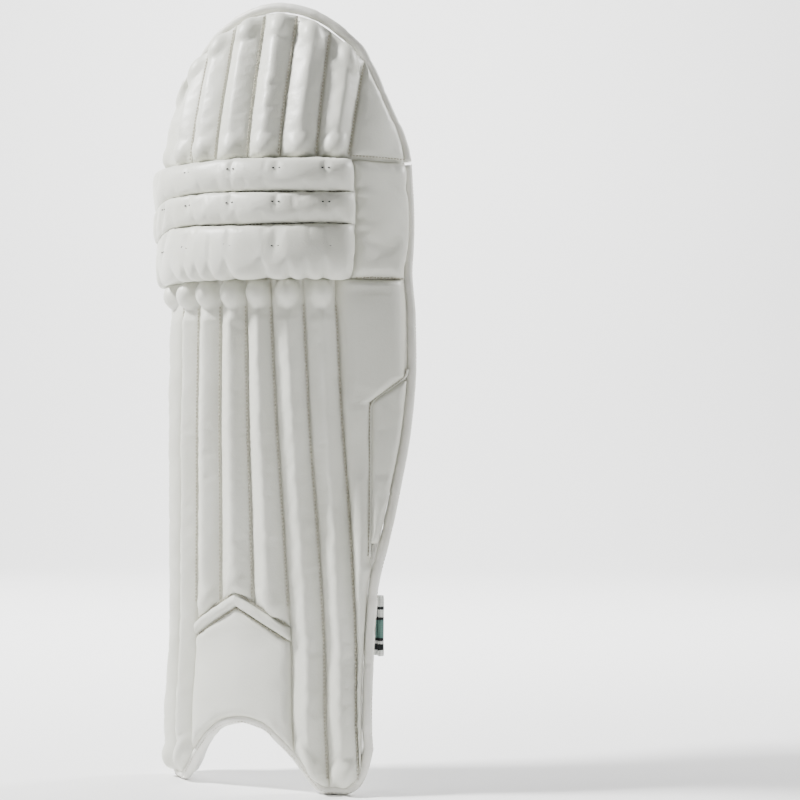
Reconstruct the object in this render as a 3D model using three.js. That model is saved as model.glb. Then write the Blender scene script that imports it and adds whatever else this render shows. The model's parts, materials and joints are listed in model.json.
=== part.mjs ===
// Cricket leg pad for the left leg, in millimetres.
// The front of the pad faces -Y, its wing is at +X, the leg goes in from +Y, and +Z is up.
import * as THREE from 'three';
import { mergeVertices } from 'three/addons/utils/BufferGeometryUtils.js';

const group = new THREE.Group();
group.name = 'cricket_leg_pad';

// Heights of the seams that divide the pad
const CREASE_Z = 573;
const KNEE_BOTTOM_Z = 465;
const ROLL_SEAMS = [CREASE_Z, 542, 513, KNEE_BOTTOM_Z];
const SHOE_TOP_Z = 90;
const TOP_SIDE_Z = 660;
const WING_TIP_Z = 662;
const TOP_ROW_Z = 706;

// Depths of the layers, measured outward from the smooth outer surface of the shell
const SKIN_EDGE = -9;
const SKIN_BACK = -16;
const BOARD_FRONT = -17;
const BOARD_BACK = -20;
const LINING_FRONT = -21;
const LINING_BACK = -27;
const PAD_FRONT = -28;

const SEAM_GAP = 0.5;
const SIDE_MARGIN = 8;
const BINDING_RADIUS = 4.2;
const BINDING_SIDES = 7;
const FOOT_BINDING_HEIGHT = 6.4;

// Straps: height of the lower edge, width, bow behind the chord, and reach of the fold past the wing's edge
const STRAP_THICKNESS = 2.2;
const TAPE_THICKNESS = 1.4;
const STRAPS = {
  knee: { bottom: 468, width: 36, bow: 20, fold: 5 },
  calf: { bottom: 327, width: 57, bow: 22, fold: 5 },
  ankle: { bottom: 122, width: 55, bow: 27, fold: 11 },
};

// Radius, front line and wing bend angle of the shell at each height
const RADIUS = [[0, 138], [170, 138], [270, 133], [360, 128], [440, 125], [490, 128], [573, 134],
  [600, 134], [640, 126], [720, 114]];
const FRONT_LINE = [[0, 0], [60, 0], [140, 6], [240, 4], [360, 0], [573, 0], [590, 3], [720, 44]];
const WING_BEND = [[0, 16], [200, 18], [270, 26], [340, 34], [430, 40], [500, 54], [573, 60],
  [620, 72], [640, 80], [720, 90]];

// Half widths of the pad, sideways from its centre line, at each height
const MEDIAL_REACH = [[0, 109], [60, 109], [83, 107], [130, 102], [174, 101], [267, 103], [360, 101],
  [443, 103], [500, 109], [573, 119], [600, 119], [630, 113], [645, 107], [657, 96.5], [664, 92.6],
  [681, 75.4], [695, 54.7], [704, 34.3], [710, 15.8]];
const LATERAL_REACH = [[0, 117], [60, 117], [110, 116], [180, 119], [225, 128], [270, 135], [330, 142],
  [380, 144], [430, 142], [480, 136], [520, 136], [573, 134], [600, 128], [634, 115], [650, 108.7],
  [665, 102], [674, 94], [689, 79.3], [700, 64], [706, 50], [710, 37]];

// Lower edge of the foot and upper edge of the thigh flap, along the shell
const FOOT_EDGE = [[-136, 42], [-130, 18], [-122, 5], [-112, 0], [-92, 0], [-82, 6], [-61, 28],
  [-40, 47], [-20, 58], [0, 61], [20, 57], [38, 44], [55, 26], [68, 9], [75, 2], [81, 0], [98, 0],
  [107, 5], [114, 18], [120, 42]];
const TOP_EDGE = [[-113, 657.5], [-107, 663.5], [-80, 681], [-52.5, 695], [-28.5, 704.5], [-8, 710], [12, 712],
  [30, 710], [44, 706.5], [60, 700], [79, 689], [100, 674.5], [113, 665.5]];

// Seams between the bolsters: distance along the shell at the lower and the upper end
const SHIN_SEAMS = [[-92, -86], [-62, -56], [-27, -24], [10, 7], [46, 35], [77, 66.4], [106, 97]];
const TOP_SEAMS = [[-100, -102], [-67, -68], [-30, -31], [7, 3.5], [39, 37], [75, 71], [106, 113]];
const SEAM_LOW_Z = 150;
const SEAM_HIGH_Z = 364;

// Chevron band over the instep
const CHEVRON_APEX_Z = 180;
const CHEVRON_DROP = 30;
const CHEVRON_HEIGHT = 13;
const CHEVRON_CENTRE = -8;

function smooth(table, x) {
  const last = table.length - 1;
  if (x <= table[0][0]) return table[0][1];
  if (x >= table[last][0]) return table[last][1];
  const slopes = table.slice(1).map((point, k) => (point[1] - table[k][1]) / (point[0] - table[k][0]));
  const tangent = (k) => {
    if (k === 0) return slopes[0];
    if (k === last) return slopes[last - 1];
    const product = slopes[k - 1] * slopes[k];
    return product <= 0 ? 0 : 2 * product / (slopes[k - 1] + slopes[k]);
  };
  const k = table.findIndex((point) => point[0] > x) - 1;
  const span = table[k + 1][0] - table[k][0];
  const t = (x - table[k][0]) / span;
  const t2 = t * t;
  const t3 = t2 * t;
  return (2 * t3 - 3 * t2 + 1) * table[k][1] + (t3 - 2 * t2 + t) * span * tangent(k)
    + (3 * t2 - 2 * t3) * table[k + 1][1] + (t3 - t2) * span * tangent(k + 1);
}

const mix = THREE.MathUtils.lerp;
const radians = THREE.MathUtils.degToRad;

// A point on the shell: u along the shell, z up, depth outward from the outer surface
function onShell(u, z, depth) {
  const radius = smooth(RADIUS, z);
  const bend = radians(smooth(WING_BEND, z));
  const angle = Math.min(u / radius, bend);
  const straight = Math.max(u - bend * radius, 0);
  const x = (radius + depth) * Math.sin(angle) + straight * Math.cos(angle);
  const y = smooth(FRONT_LINE, z) + radius - (radius + depth) * Math.cos(angle) + straight * Math.sin(angle);
  return new THREE.Vector3(x, y, z);
}

function medialEdge(z) {
  const radius = smooth(RADIUS, z);
  return SIDE_MARGIN - radius * Math.asin(smooth(MEDIAL_REACH, z) / (radius - SIDE_MARGIN));
}

function lateralEdge(z) {
  const radius = smooth(RADIUS, z);
  const bend = radians(smooth(WING_BEND, z));
  const reach = smooth(LATERAL_REACH, z);
  const curved = radius * Math.sin(bend);
  if (reach <= curved) return radius * Math.asin(reach / radius) - SIDE_MARGIN;
  return radius * bend + (reach - curved) / Math.cos(bend) - SIDE_MARGIN;
}

const footEdge = (u) => smooth(FOOT_EDGE, u);
const topEdge = (u) => smooth(TOP_EDGE, u);

function shinSeam(k, z) {
  return mix(SHIN_SEAMS[k][0], SHIN_SEAMS[k][1], (z - SEAM_LOW_Z) / (SEAM_HIGH_Z - SEAM_LOW_Z));
}

function topSeam(k, z) {
  return mix(TOP_SEAMS[k][0], TOP_SEAMS[k][1], (z - CREASE_Z) / (TOP_ROW_Z - CREASE_Z));
}

function finish(name, geometry, colour, roughness) {
  geometry.deleteAttribute('uv');
  geometry.deleteAttribute('normal');
  const welded = mergeVertices(geometry, 1e-4);
  welded.computeVertexNormals();
  const material = new THREE.MeshStandardMaterial({ color: colour, roughness, metalness: 0 });
  const mesh = new THREE.Mesh(welded, material);
  mesh.name = name;
  group.add(mesh);
  return mesh;
}

const asFunction = (value) => (typeof value === 'function' ? value : () => value);

const SETTLING_PASSES = 8;
// A soft panel on the shell, bounded by two side curves u(z) and two end curves z(u)
function panel(name, look, { left, right, bottom, top, outer, inner, across = 4, along = 8, rows = mix }) {
  const [leftAt, rightAt, bottomAt, topAt] = [left, right, bottom, top].map(asFunction);
  const [outerAt, innerAt] = [outer, inner].map(asFunction);
  const geometry = new THREE.BoxGeometry(1, 1, 1, across, along, 1);
  const position = geometry.attributes.position;
  for (let k = 0; k < position.count; k += 1) {
    const s = position.getX(k) + 0.5;
    const t = position.getY(k) + 0.5;
    let u = mix(leftAt(CREASE_Z), rightAt(CREASE_Z), s);
    let z = rows(bottomAt(u), topAt(u), t);
    for (let pass = 0; pass < SETTLING_PASSES; pass += 1) {
      u = mix(leftAt(z), rightAt(z), s);
      z = rows(bottomAt(u), topAt(u), t);
    }
    const depth = position.getZ(k) > 0 ? outerAt(s, t) : innerAt(s, t);
    const point = onShell(u, z, depth);
    position.setXYZ(k, point.x, point.y, point.z);
  }
  return finish(name, geometry, look.colour, look.roughness);
}

// Rounded fullness of a stuffed channel: edge depth at its seams, crown depth in the middle
const domeAcross = (edge, crown) => (s) => mix(edge, crown, Math.sqrt(Math.max(0, 1 - (2 * s - 1) ** 2)));
function cushion(edge, crown) {
  return (s, t) => mix(edge, crown, ((1 - (2 * s - 1) ** 4) * (1 - (2 * t - 1) ** 6)) ** 0.6);
}

const LEATHER = { colour: 0xe6e5dd, roughness: 0.55 };
const BOARD = { colour: 0xcdbf9a, roughness: 0.9 };
const KNIT = { colour: 0xeeeef0, roughness: 0.9 };
const AIR_MESH = { colour: 0xa9a49c, roughness: 0.95 };
const RUBBER = { colour: 0x1d1d1f, roughness: 0.6 };
const WEBBING = { colour: 0x77a99d, roughness: 0.85 };
const TAPE = { colour: 0xb9b7b3, roughness: 0.95 };

// ---- Thigh flap: board, bolsters, wing panel, lining and binding
const flapRows = (low, high, t) => mix(low, high, 1 - (1 - t) ** 1.8);
const THIGH_BOTTOM = CREASE_Z + 1;

panel('thigh_board', BOARD, {
  left: (z) => medialEdge(z) + 5, right: (z) => lateralEdge(z) - 5, bottom: THIGH_BOTTOM + 2, top: TOP_ROW_Z,
  outer: BOARD_FRONT, inner: BOARD_BACK, across: 18, along: 8, rows: flapRows,
});
panel('thigh_lining', KNIT, {
  left: (z) => medialEdge(z) + 2, right: (z) => lateralEdge(z) - 2, bottom: THIGH_BOTTOM, top: TOP_ROW_Z,
  outer: LINING_FRONT, inner: LINING_BACK, across: 18, along: 8, rows: flapRows,
});
for (let k = 0; k < TOP_SEAMS.length; k += 1) {
  const isFirst = k === 0;
  panel(`thigh_bolster_${k + 1}`, LEATHER, {
    left: isFirst ? (z) => medialEdge(z) + SEAM_GAP : (z) => topSeam(k - 1, z) + SEAM_GAP,
    right: (z) => topSeam(k, z) - SEAM_GAP,
    bottom: THIGH_BOTTOM,
    top: isFirst ? TOP_SIDE_Z : topEdge,
    outer: domeAcross(SKIN_EDGE, 0), inner: SKIN_BACK, across: 5, along: 8,
  });
}
panel('thigh_wing_panel', LEATHER, {
  left: (z) => topSeam(6, z) + SEAM_GAP, right: (z) => lateralEdge(z) - SEAM_GAP,
  bottom: THIGH_BOTTOM, top: WING_TIP_Z, outer: -7, inner: SKIN_BACK, across: 4, along: 8,
});

// ---- Knee: board, three rolls, wing panel, lining and knee locator
const ROLL_LEFT = (z) => medialEdge(z) + SEAM_GAP;
const ROLL_RIGHT = 108;
panel('knee_board', BOARD, {
  left: (z) => medialEdge(z) + 5, right: (z) => lateralEdge(z) - 5, bottom: KNEE_BOTTOM_Z + 1, top: CREASE_Z - 1,
  outer: BOARD_FRONT, inner: BOARD_BACK, across: 20, along: 3,
});
const ROLL_CROWNS = [14, 16, 20];
for (let k = 0; k < ROLL_CROWNS.length; k += 1) {
  const rounded = (s, t) => {
    const across = Math.sqrt(Math.max(0, 1 - (2 * t - 1) ** 2));
    const ends = (1 - (2 * s - 1) ** 8) ** 0.6;
    return mix(-6, ROLL_CROWNS[k], across * ends);
  };
  panel(`knee_roll_${k + 1}`, LEATHER, {
    left: ROLL_LEFT, right: ROLL_RIGHT, bottom: ROLL_SEAMS[k + 1] + SEAM_GAP, top: ROLL_SEAMS[k] - SEAM_GAP,
    outer: rounded, inner: SKIN_BACK, across: 16, along: 5,
  });
}
panel('knee_wing_panel', LEATHER, {
  left: ROLL_RIGHT + 1, right: (z) => lateralEdge(z) - SEAM_GAP, bottom: KNEE_BOTTOM_Z + SEAM_GAP,
  top: CREASE_Z - SEAM_GAP, outer: cushion(-8, -1), inner: SKIN_BACK, across: 6, along: 6,
});
panel('knee_lining', KNIT, {
  left: (z) => medialEdge(z) + 2, right: (z) => lateralEdge(z) - 2, bottom: KNEE_BOTTOM_Z + 1, top: CREASE_Z - 1,
  outer: LINING_FRONT, inner: LINING_BACK, across: 20, along: 3,
});

const LOCATOR = { centre: 16, middleZ: 537, halfHeight: 34, halfWidth: 49, endHalfWidth: 30, barWidth: 26 };
const locatorHalf = (z) => {
  const rise = Math.min(1, Math.abs(z - LOCATOR.middleZ) / LOCATOR.halfHeight);
  return mix(LOCATOR.halfWidth, LOCATOR.endHalfWidth, rise);
};
const LOCATOR_ENDS = { bottom: LOCATOR.middleZ - LOCATOR.halfHeight, top: LOCATOR.middleZ + LOCATOR.halfHeight };
panel('knee_locator_pad', KNIT, {
  left: (z) => LOCATOR.centre - locatorHalf(z), right: (z) => LOCATOR.centre + locatorHalf(z), ...LOCATOR_ENDS,
  outer: PAD_FRONT, inner: cushion(-34, -43), across: 8, along: 6,
});
panel('knee_bar_medial', RUBBER, {
  left: (z) => LOCATOR.centre - locatorHalf(z) - LOCATOR.barWidth,
  right: (z) => LOCATOR.centre - locatorHalf(z) - SEAM_GAP, ...LOCATOR_ENDS,
  outer: PAD_FRONT, inner: -33, across: 2, along: 6,
});
panel('knee_bar_lateral', RUBBER, {
  left: (z) => LOCATOR.centre + locatorHalf(z) + SEAM_GAP,
  right: (z) => LOCATOR.centre + locatorHalf(z) + LOCATOR.barWidth, ...LOCATOR_ENDS,
  outer: PAD_FRONT, inner: -33, across: 2, along: 6,
});
const BADGE = { halfWidth: 25, endHalfWidth: 13, halfHeight: 26 };
const badgeHalf = (z) => mix(BADGE.halfWidth, BADGE.endHalfWidth, Math.abs(z - LOCATOR.middleZ) / BADGE.halfHeight);
panel('knee_badge', RUBBER, {
  left: (z) => LOCATOR.centre - badgeHalf(z), right: (z) => LOCATOR.centre + badgeHalf(z),
  bottom: LOCATOR.middleZ - BADGE.halfHeight, top: LOCATOR.middleZ + BADGE.halfHeight,
  outer: -44, inner: -46.5, across: 4, along: 4,
});

// ---- Shin: board, bolsters, chevron band, instep and wing panels, lining
const SHIN_TOP = KNEE_BOTTOM_Z - 1;
const PANEL_FLOOR = (u) => footEdge(u) + FOOT_BINDING_HEIGHT + 2;
panel('shin_board', BOARD, {
  left: (z) => medialEdge(z) + 5, right: (z) => lateralEdge(z) - 5,
  bottom: (u) => PANEL_FLOOR(u) + 2, top: SHIN_TOP,
  outer: BOARD_FRONT, inner: BOARD_BACK, across: 22, along: 12,
});
const chevronTop = (u) => CHEVRON_APEX_Z - CHEVRON_DROP * Math.abs(u - CHEVRON_CENTRE) / 54;
const chevronBottom = (u) => chevronTop(u) - CHEVRON_HEIGHT;
const bolsterTops = (edge, crown, bulb) => (s, t) => {
  const swell = bulb * Math.exp(-(((t - 0.95) / 0.04) ** 2));
  return mix(edge, crown + swell, Math.sqrt(Math.max(0, 1 - (2 * s - 1) ** 2)) * (1 - t ** 24));
};
for (let k = 0; k < SHIN_SEAMS.length; k += 1) {
  const endsAtChevron = k >= 2 && k <= 4;
  panel(`shin_bolster_${k + 1}`, LEATHER, {
    left: k === 0 ? (z) => medialEdge(z) + 1.5 : (z) => shinSeam(k - 1, z) + SEAM_GAP,
    right: (z) => shinSeam(k, z) - SEAM_GAP,
    bottom: endsAtChevron ? (u) => chevronTop(u) + 1.4 : PANEL_FLOOR,
    top: SHIN_TOP,
    outer: bolsterTops(SKIN_EDGE, 0, 4), inner: SKIN_BACK, across: 6, along: endsAtChevron ? 9 : 12,
  });
}
const INSTEP_SIDES = { left: (z) => shinSeam(1, z) + SEAM_GAP, right: (z) => shinSeam(4, z) - SEAM_GAP };
panel('chevron_band', LEATHER, {
  ...INSTEP_SIDES, bottom: (u) => chevronBottom(u) + SEAM_GAP, top: chevronTop,
  outer: (s, t) => mix(-8, -1, Math.sqrt(Math.max(0, 1 - (2 * t - 1) ** 2))), inner: SKIN_BACK, across: 10, along: 4,
});
panel('instep_panel', LEATHER, {
  ...INSTEP_SIDES, bottom: PANEL_FLOOR, top: chevronBottom,
  outer: cushion(-9, -4), inner: SKIN_BACK, across: 10, along: 6,
});
// The groove across the wing drops from the outer edge to a corner, then runs down to the ankle
const GROOVE_CORNER = { u: 124, z: 353 };
const GROOVE_FOOT = { u: 118, z: 204 };
const GROOVE_END = { u: 172, z: 386 };
const GROOVE_WIDTH = 2.4;
const FLAP_ENDS = { bottom: 232, top: 364 };
const grooveAt = (z) => {
  if (z >= GROOVE_CORNER.z) {
    return mix(GROOVE_CORNER.u, GROOVE_END.u, (z - GROOVE_CORNER.z) / (GROOVE_END.z - GROOVE_CORNER.z));
  }
  return mix(GROOVE_FOOT.u, GROOVE_CORNER.u, (z - GROOVE_FOOT.z) / (GROOVE_CORNER.z - GROOVE_FOOT.z));
};
// Rows of a wing panel, with one row exactly at each corner of the groove
const grooveRows = (stops) => (low, high, t) => {
  const levels = [low, ...stops, high];
  const place = t * (levels.length - 1);
  const k = Math.min(Math.floor(place), levels.length - 2);
  return mix(levels[k], levels[k + 1], place - k);
};
panel('calf_wing_upper', LEATHER, {
  left: (z) => shinSeam(6, z) + SEAM_GAP,
  right: (z) => (z > GROOVE_FOOT.z && z < GROOVE_END.z ? Math.min(grooveAt(z), lateralEdge(z)) : lateralEdge(z))
    - SEAM_GAP,
  bottom: PANEL_FLOOR, top: SHIN_TOP, rows: grooveRows([GROOVE_FOOT.z, GROOVE_CORNER.z, GROOVE_END.z]),
  outer: cushion(-8, -2), inner: SKIN_BACK, across: 4, along: 24,
});
panel('calf_wing_lower', LEATHER, {
  left: (z) => grooveAt(z + GROOVE_WIDTH) + GROOVE_WIDTH, right: (z) => lateralEdge(z) - SEAM_GAP,
  bottom: FLAP_ENDS.bottom, top: FLAP_ENDS.top, rows: grooveRows([GROOVE_CORNER.z - GROOVE_WIDTH]),
  outer: (s, t) => mix(-8, -3, (1 - (2 * t - 1) ** 6)), inner: SKIN_BACK, across: 3, along: 14,
});
panel('shin_lining', LEATHER, {
  left: (z) => medialEdge(z) + 2, right: (z) => lateralEdge(z) - 2, bottom: SHOE_TOP_Z, top: SHIN_TOP,
  outer: LINING_FRONT, inner: LINING_BACK, across: 24, along: 12,
});
panel('medial_side_wall', LEATHER, {
  left: (z) => medialEdge(z) - 2, right: (z) => medialEdge(z) - 0.2, bottom: 50, top: SHIN_TOP,
  outer: SKIN_EDGE - 2, inner: LINING_BACK, across: 1, along: 12,
});
const SHOE_SEAMS = [-48, 52];
const SHOE_PANELS = {
  foot_lining_medial: [(z) => medialEdge(z) + 2, SHOE_SEAMS[0] - SEAM_GAP],
  foot_lining_centre: [SHOE_SEAMS[0] + SEAM_GAP, SHOE_SEAMS[1] - SEAM_GAP],
  foot_lining_lateral: [SHOE_SEAMS[1] + SEAM_GAP, (z) => lateralEdge(z) - 2],
};
for (const [name, [left, right]] of Object.entries(SHOE_PANELS)) {
  panel(name, LEATHER, {
    left, right, bottom: PANEL_FLOOR, top: SHOE_TOP_Z - 1,
    outer: LINING_FRONT, inner: cushion(-25, -29), across: 7, along: 4,
  });
}

// ---- Inner padding: spine, printed spine cover, and a bolster and a mesh strip on each side
const INNER_TOP = 500;
const INNER_BOTTOM = 95;
const KNEE_PAD_STEP = KNEE_BOTTOM_Z - 2;
panel('spine_pad', LEATHER, {
  left: -28, right: 53, bottom: 286, top: KNEE_PAD_STEP, outer: PAD_FRONT, inner: cushion(-32, -38), across: 6, along: 6,
});
panel('spine_cover', LEATHER, {
  left: -28, right: 53, bottom: INNER_BOTTOM + 4, top: 285, outer: PAD_FRONT, inner: cushion(-32, -38), across: 6, along: 6,
});
const SIDE_PADS = {
  calf_bolster_medial: [AIR_MESH, -112, -63, -45],
  mesh_strip_medial: [KNIT, -62, -29, -41],
  mesh_strip_lateral: [KNIT, 54, 92, -41],
  calf_bolster_lateral: [AIR_MESH, 93, 140, -45],
};
for (const [name, [look, left, right, crown]] of Object.entries(SIDE_PADS)) {
  const outermost = name === 'calf_bolster_lateral';
  panel(name, look, {
    left, right: outermost ? (z) => Math.min(right, lateralEdge(z) - 10) : right,
    bottom: INNER_BOTTOM, top: KNEE_PAD_STEP, outer: PAD_FRONT, inner: cushion(-29, crown), across: 5, along: 12,
  });
}

// ---- Rolled edge binding
function binding(name, points, steps) {
  const shape = new THREE.Shape();
  for (let k = 0; k < BINDING_SIDES; k += 1) {
    const angle = 2 * Math.PI * k / BINDING_SIDES;
    const [x, y] = [BINDING_RADIUS * Math.cos(angle), BINDING_RADIUS * Math.sin(angle)];
    if (k === 0) shape.moveTo(x, y);
    else shape.lineTo(x, y);
  }
  shape.closePath();
  const extrudePath = new THREE.CatmullRomCurve3(points);
  const geometry = new THREE.ExtrudeGeometry(shape, { steps, bevelEnabled: false, extrudePath });
  return finish(name, geometry, LEATHER.colour, LEATHER.roughness);
}
const stations = (from, to, count) => Array.from({ length: count }, (_, k) => mix(from, to, k / (count - 1)));
const BINDING_STEP = BINDING_RADIUS + 1.4;
const EDGE_DEPTH = -13;
const MEDIAL_DEPTH = -5.5;
const medialPath = (from, to, count, depth) => stations(from, to, count)
  .map((z) => onShell(medialEdge(z) - BINDING_STEP - 1.4, z, depth));
const lateralPath = (from, to, count) => stations(from, to, count)
  .map((z) => onShell(lateralEdge(z) + BINDING_STEP, z, EDGE_DEPTH));
binding('medial_binding', medialPath(48, CREASE_Z - 3, 16, MEDIAL_DEPTH), 26);
binding('lateral_binding', lateralPath(48, CREASE_Z - 3, 18), 30);
const flapOutline = [
  ...medialPath(THIGH_BOTTOM + 2, TOP_SIDE_Z - 12, 6, EDGE_DEPTH),
  ...stations(-104, 104, 13).map((u) => onShell(u * 1.04, topEdge(u) + BINDING_STEP * 1.3, EDGE_DEPTH)),
  ...lateralPath(WING_TIP_Z - 8, THIGH_BOTTOM + 2, 7),
];
binding('thigh_binding', flapOutline, 48);
panel('foot_binding', LEATHER, {
  left: -135.5, right: 119.5, bottom: footEdge, top: (u) => footEdge(u) + FOOT_BINDING_HEIGHT,
  outer: SKIN_EDGE, inner: -19, across: 44, along: 1,
});

// ---- Straps: each is hinged on an anchor sewn inside the wing's edge, and closes on the medial side wall
function flatBand(name, look, path, bottom, width, thickness, steps) {
  const curve = new THREE.CatmullRomCurve3(path.map((point) => new THREE.Vector3(point.x, point.y, 0)));
  const geometry = new THREE.BoxGeometry(1, 1, 1, steps, 1, 1);
  const position = geometry.attributes.position;
  for (let k = 0; k < position.count; k += 1) {
    const centre = curve.getPointAt(position.getX(k) + 0.5);
    const tangent = curve.getTangentAt(position.getX(k) + 0.5);
    const side = position.getZ(k) * thickness;
    const z = bottom + (position.getY(k) + 0.5) * width;
    position.setXYZ(k, centre.x + tangent.y * side, centre.y - tangent.x * side, z);
  }
  return finish(name, geometry, look.colour, look.roughness);
}

for (const [name, { bottom, width, bow, fold }] of Object.entries(STRAPS)) {
  const middle = bottom + width / 2;
  const wingEdge = lateralEdge(middle);
  const wallEdge = medialEdge(middle);
  const atWing = (step, depth) => onShell(wingEdge + step, middle, depth);
  const atWall = (step, depth) => onShell(wallEdge + step, middle, depth);
  const anchorPath = [atWing(-7, -31), atWing(0, -31), atWing(fold, -31)];
  flatBand(`${name}_strap_anchor`, WEBBING, anchorPath, bottom, width, STRAP_THICKNESS, 4);

  const start = atWing(fold, -34.4);
  const landing = atWall(2, -37);
  const bowed = [0.2, 0.4, 0.6, 0.8].map((f) => {
    const point = start.clone().lerp(landing, f);
    point.y += bow * 4 * f * (1 - f);
    return point;
  });
  const strapPath = [landing, atWall(-10, -29), atWall(-10, -12)];
  flatBand(`${name}_strap`, WEBBING, [start, ...bowed, ...strapPath], bottom, width, STRAP_THICKNESS, 30);
  flatBand(`${name}_hook_tape`, TAPE, [atWall(-7.2, -27), atWall(-7.2, -14)], bottom + 3, width - 6, TAPE_THICKNESS, 3);
  flatBand(`${name}_loop_tape`, TAPE, [atWall(-4.9, -28), atWall(-4.9, -13)], bottom + 3, width - 6, TAPE_THICKNESS, 3);
  if (name === 'calf') {
    const patch = [0.6, 0.71, 0.82, 0.93].map((f) => {
      const point = start.clone().lerp(landing, f);
      point.y += bow * 4 * f * (1 - f) + STRAP_THICKNESS;
      return point;
    });
    flatBand('calf_strap_patch', LEATHER, patch, bottom + 2, width - 4, TAPE_THICKNESS, 8);
  }
}

// The part's origin is the middle of its base
const bounds = new THREE.Box3().setFromObject(group);
const middle = bounds.getCenter(new THREE.Vector3());
group.position.set(-middle.x, -middle.y, -bounds.min.z);

export default group;
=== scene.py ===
"""Cricket leg pad: the soft covers, straps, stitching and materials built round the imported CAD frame.

The pad's surface is described as in the CAD part: u runs along the shell, z is the height and
depth is measured outward from the smooth outer surface. Those three are in millimetres.
"""

import json
import math

import bpy
import numpy as np
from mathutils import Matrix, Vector

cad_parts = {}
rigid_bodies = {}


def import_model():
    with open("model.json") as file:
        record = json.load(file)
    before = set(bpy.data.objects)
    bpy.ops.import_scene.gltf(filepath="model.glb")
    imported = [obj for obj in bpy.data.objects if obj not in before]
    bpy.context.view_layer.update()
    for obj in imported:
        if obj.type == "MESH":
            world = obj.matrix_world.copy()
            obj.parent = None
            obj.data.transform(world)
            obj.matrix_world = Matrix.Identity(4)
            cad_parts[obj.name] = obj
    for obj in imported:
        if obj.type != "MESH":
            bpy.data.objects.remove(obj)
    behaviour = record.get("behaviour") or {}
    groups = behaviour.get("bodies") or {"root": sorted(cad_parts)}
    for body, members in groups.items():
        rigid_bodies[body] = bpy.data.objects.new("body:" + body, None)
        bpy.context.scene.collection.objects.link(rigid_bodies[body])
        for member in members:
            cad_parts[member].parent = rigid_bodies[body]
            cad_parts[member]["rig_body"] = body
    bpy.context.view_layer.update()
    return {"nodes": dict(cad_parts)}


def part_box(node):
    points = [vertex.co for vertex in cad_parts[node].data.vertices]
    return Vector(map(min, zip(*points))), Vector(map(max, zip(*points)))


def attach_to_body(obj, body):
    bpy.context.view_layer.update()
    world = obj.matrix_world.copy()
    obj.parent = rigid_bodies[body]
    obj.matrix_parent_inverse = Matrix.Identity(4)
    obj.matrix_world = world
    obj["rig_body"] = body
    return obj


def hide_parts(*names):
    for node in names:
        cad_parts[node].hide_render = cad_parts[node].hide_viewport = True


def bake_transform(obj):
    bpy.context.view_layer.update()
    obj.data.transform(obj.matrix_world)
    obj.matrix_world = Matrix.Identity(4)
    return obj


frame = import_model()
MM = 0.001

# ---------------------------------------------------------------- the shell, as in the CAD part
CREASE_Z = 573
KNEE_BOTTOM_Z = 465
ROLL_SEAMS = [CREASE_Z, 542, 513, KNEE_BOTTOM_Z]
SHOE_TOP_Z = 90
SIDE_MARGIN = 8
RADIUS = [(0, 138), (170, 138), (270, 133), (360, 128), (440, 125), (490, 128), (573, 134), (600, 134),
          (640, 126), (720, 114)]
FRONT_LINE = [(0, 0), (60, 0), (140, 6), (240, 4), (360, 0), (573, 0), (590, 3), (720, 44)]
WING_BEND = [(0, 16), (200, 18), (270, 26), (340, 34), (430, 40), (500, 54), (573, 60), (620, 72),
             (640, 80), (720, 90)]
MEDIAL_REACH = [(0, 109), (60, 109), (83, 107), (130, 102), (174, 101), (267, 103), (360, 101),
                (443, 103), (500, 109), (573, 119), (600, 119), (630, 113), (645, 107), (657, 96.5),
                (664, 92.6), (681, 75.4), (695, 54.7), (704, 34.3), (710, 15.8)]
LATERAL_REACH = [(0, 117), (60, 117), (110, 116), (180, 119), (225, 128), (270, 135), (330, 142),
                 (380, 144), (430, 142), (480, 136), (520, 136), (573, 134), (600, 128), (634, 115),
                 (650, 108.7), (665, 102), (674, 94), (689, 79.3), (700, 64), (706, 50), (710, 37)]
FOOT_EDGE = [(-136, 42), (-130, 18), (-122, 5), (-112, 0), (-92, 0), (-82, 6), (-61, 28), (-40, 47),
             (-20, 58), (0, 61), (20, 57), (38, 44), (55, 26), (68, 9), (75, 2), (81, 0), (98, 0),
             (107, 5), (114, 18), (120, 42)]
TOP_EDGE = [(-113, 657.5), (-107, 663.5), (-80, 681), (-52.5, 695), (-28.5, 704.5), (-8, 710),
            (12, 712), (30, 710), (44, 706.5), (60, 700), (79, 689), (100, 674.5), (113, 665.5)]
SHIN_SEAMS = [(-92, -86), (-62, -56), (-27, -24), (10, 7), (46, 35), (77, 66.4), (106, 97)]
TOP_SEAMS = [(-100, -102), (-67, -68), (-30, -31), (7, 3.5), (39, 37), (75, 71), (106, 113)]
SEAM_LOW_Z, SEAM_HIGH_Z = 150, 364
TOP_ROW_Z = 706
CHEVRON_APEX_Z, CHEVRON_DROP, CHEVRON_HEIGHT = 180, 30, 13
CHEVRON_CENTRE, CHEVRON_HALF = -8, 54
GROOVE_CORNER, GROOVE_FOOT, GROOVE_END = (124, 353), (118, 204), (172, 386)
SHOE_SEAMS = (-48, 52)
LOCATOR_CENTRE, LOCATOR_Z = 16, 537
BADGE_HALF, BADGE_BACK, BADGE_FACE = 25, -44, -46.5
STRAPS = {  # lower edge, width, bow behind the chord, reach of the fold past the wing's edge
    "knee": (468, 36, 20, 5),
    "calf": (327, 57, 22, 5),
    "ankle": (122, 55, 27, 11),
}


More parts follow.
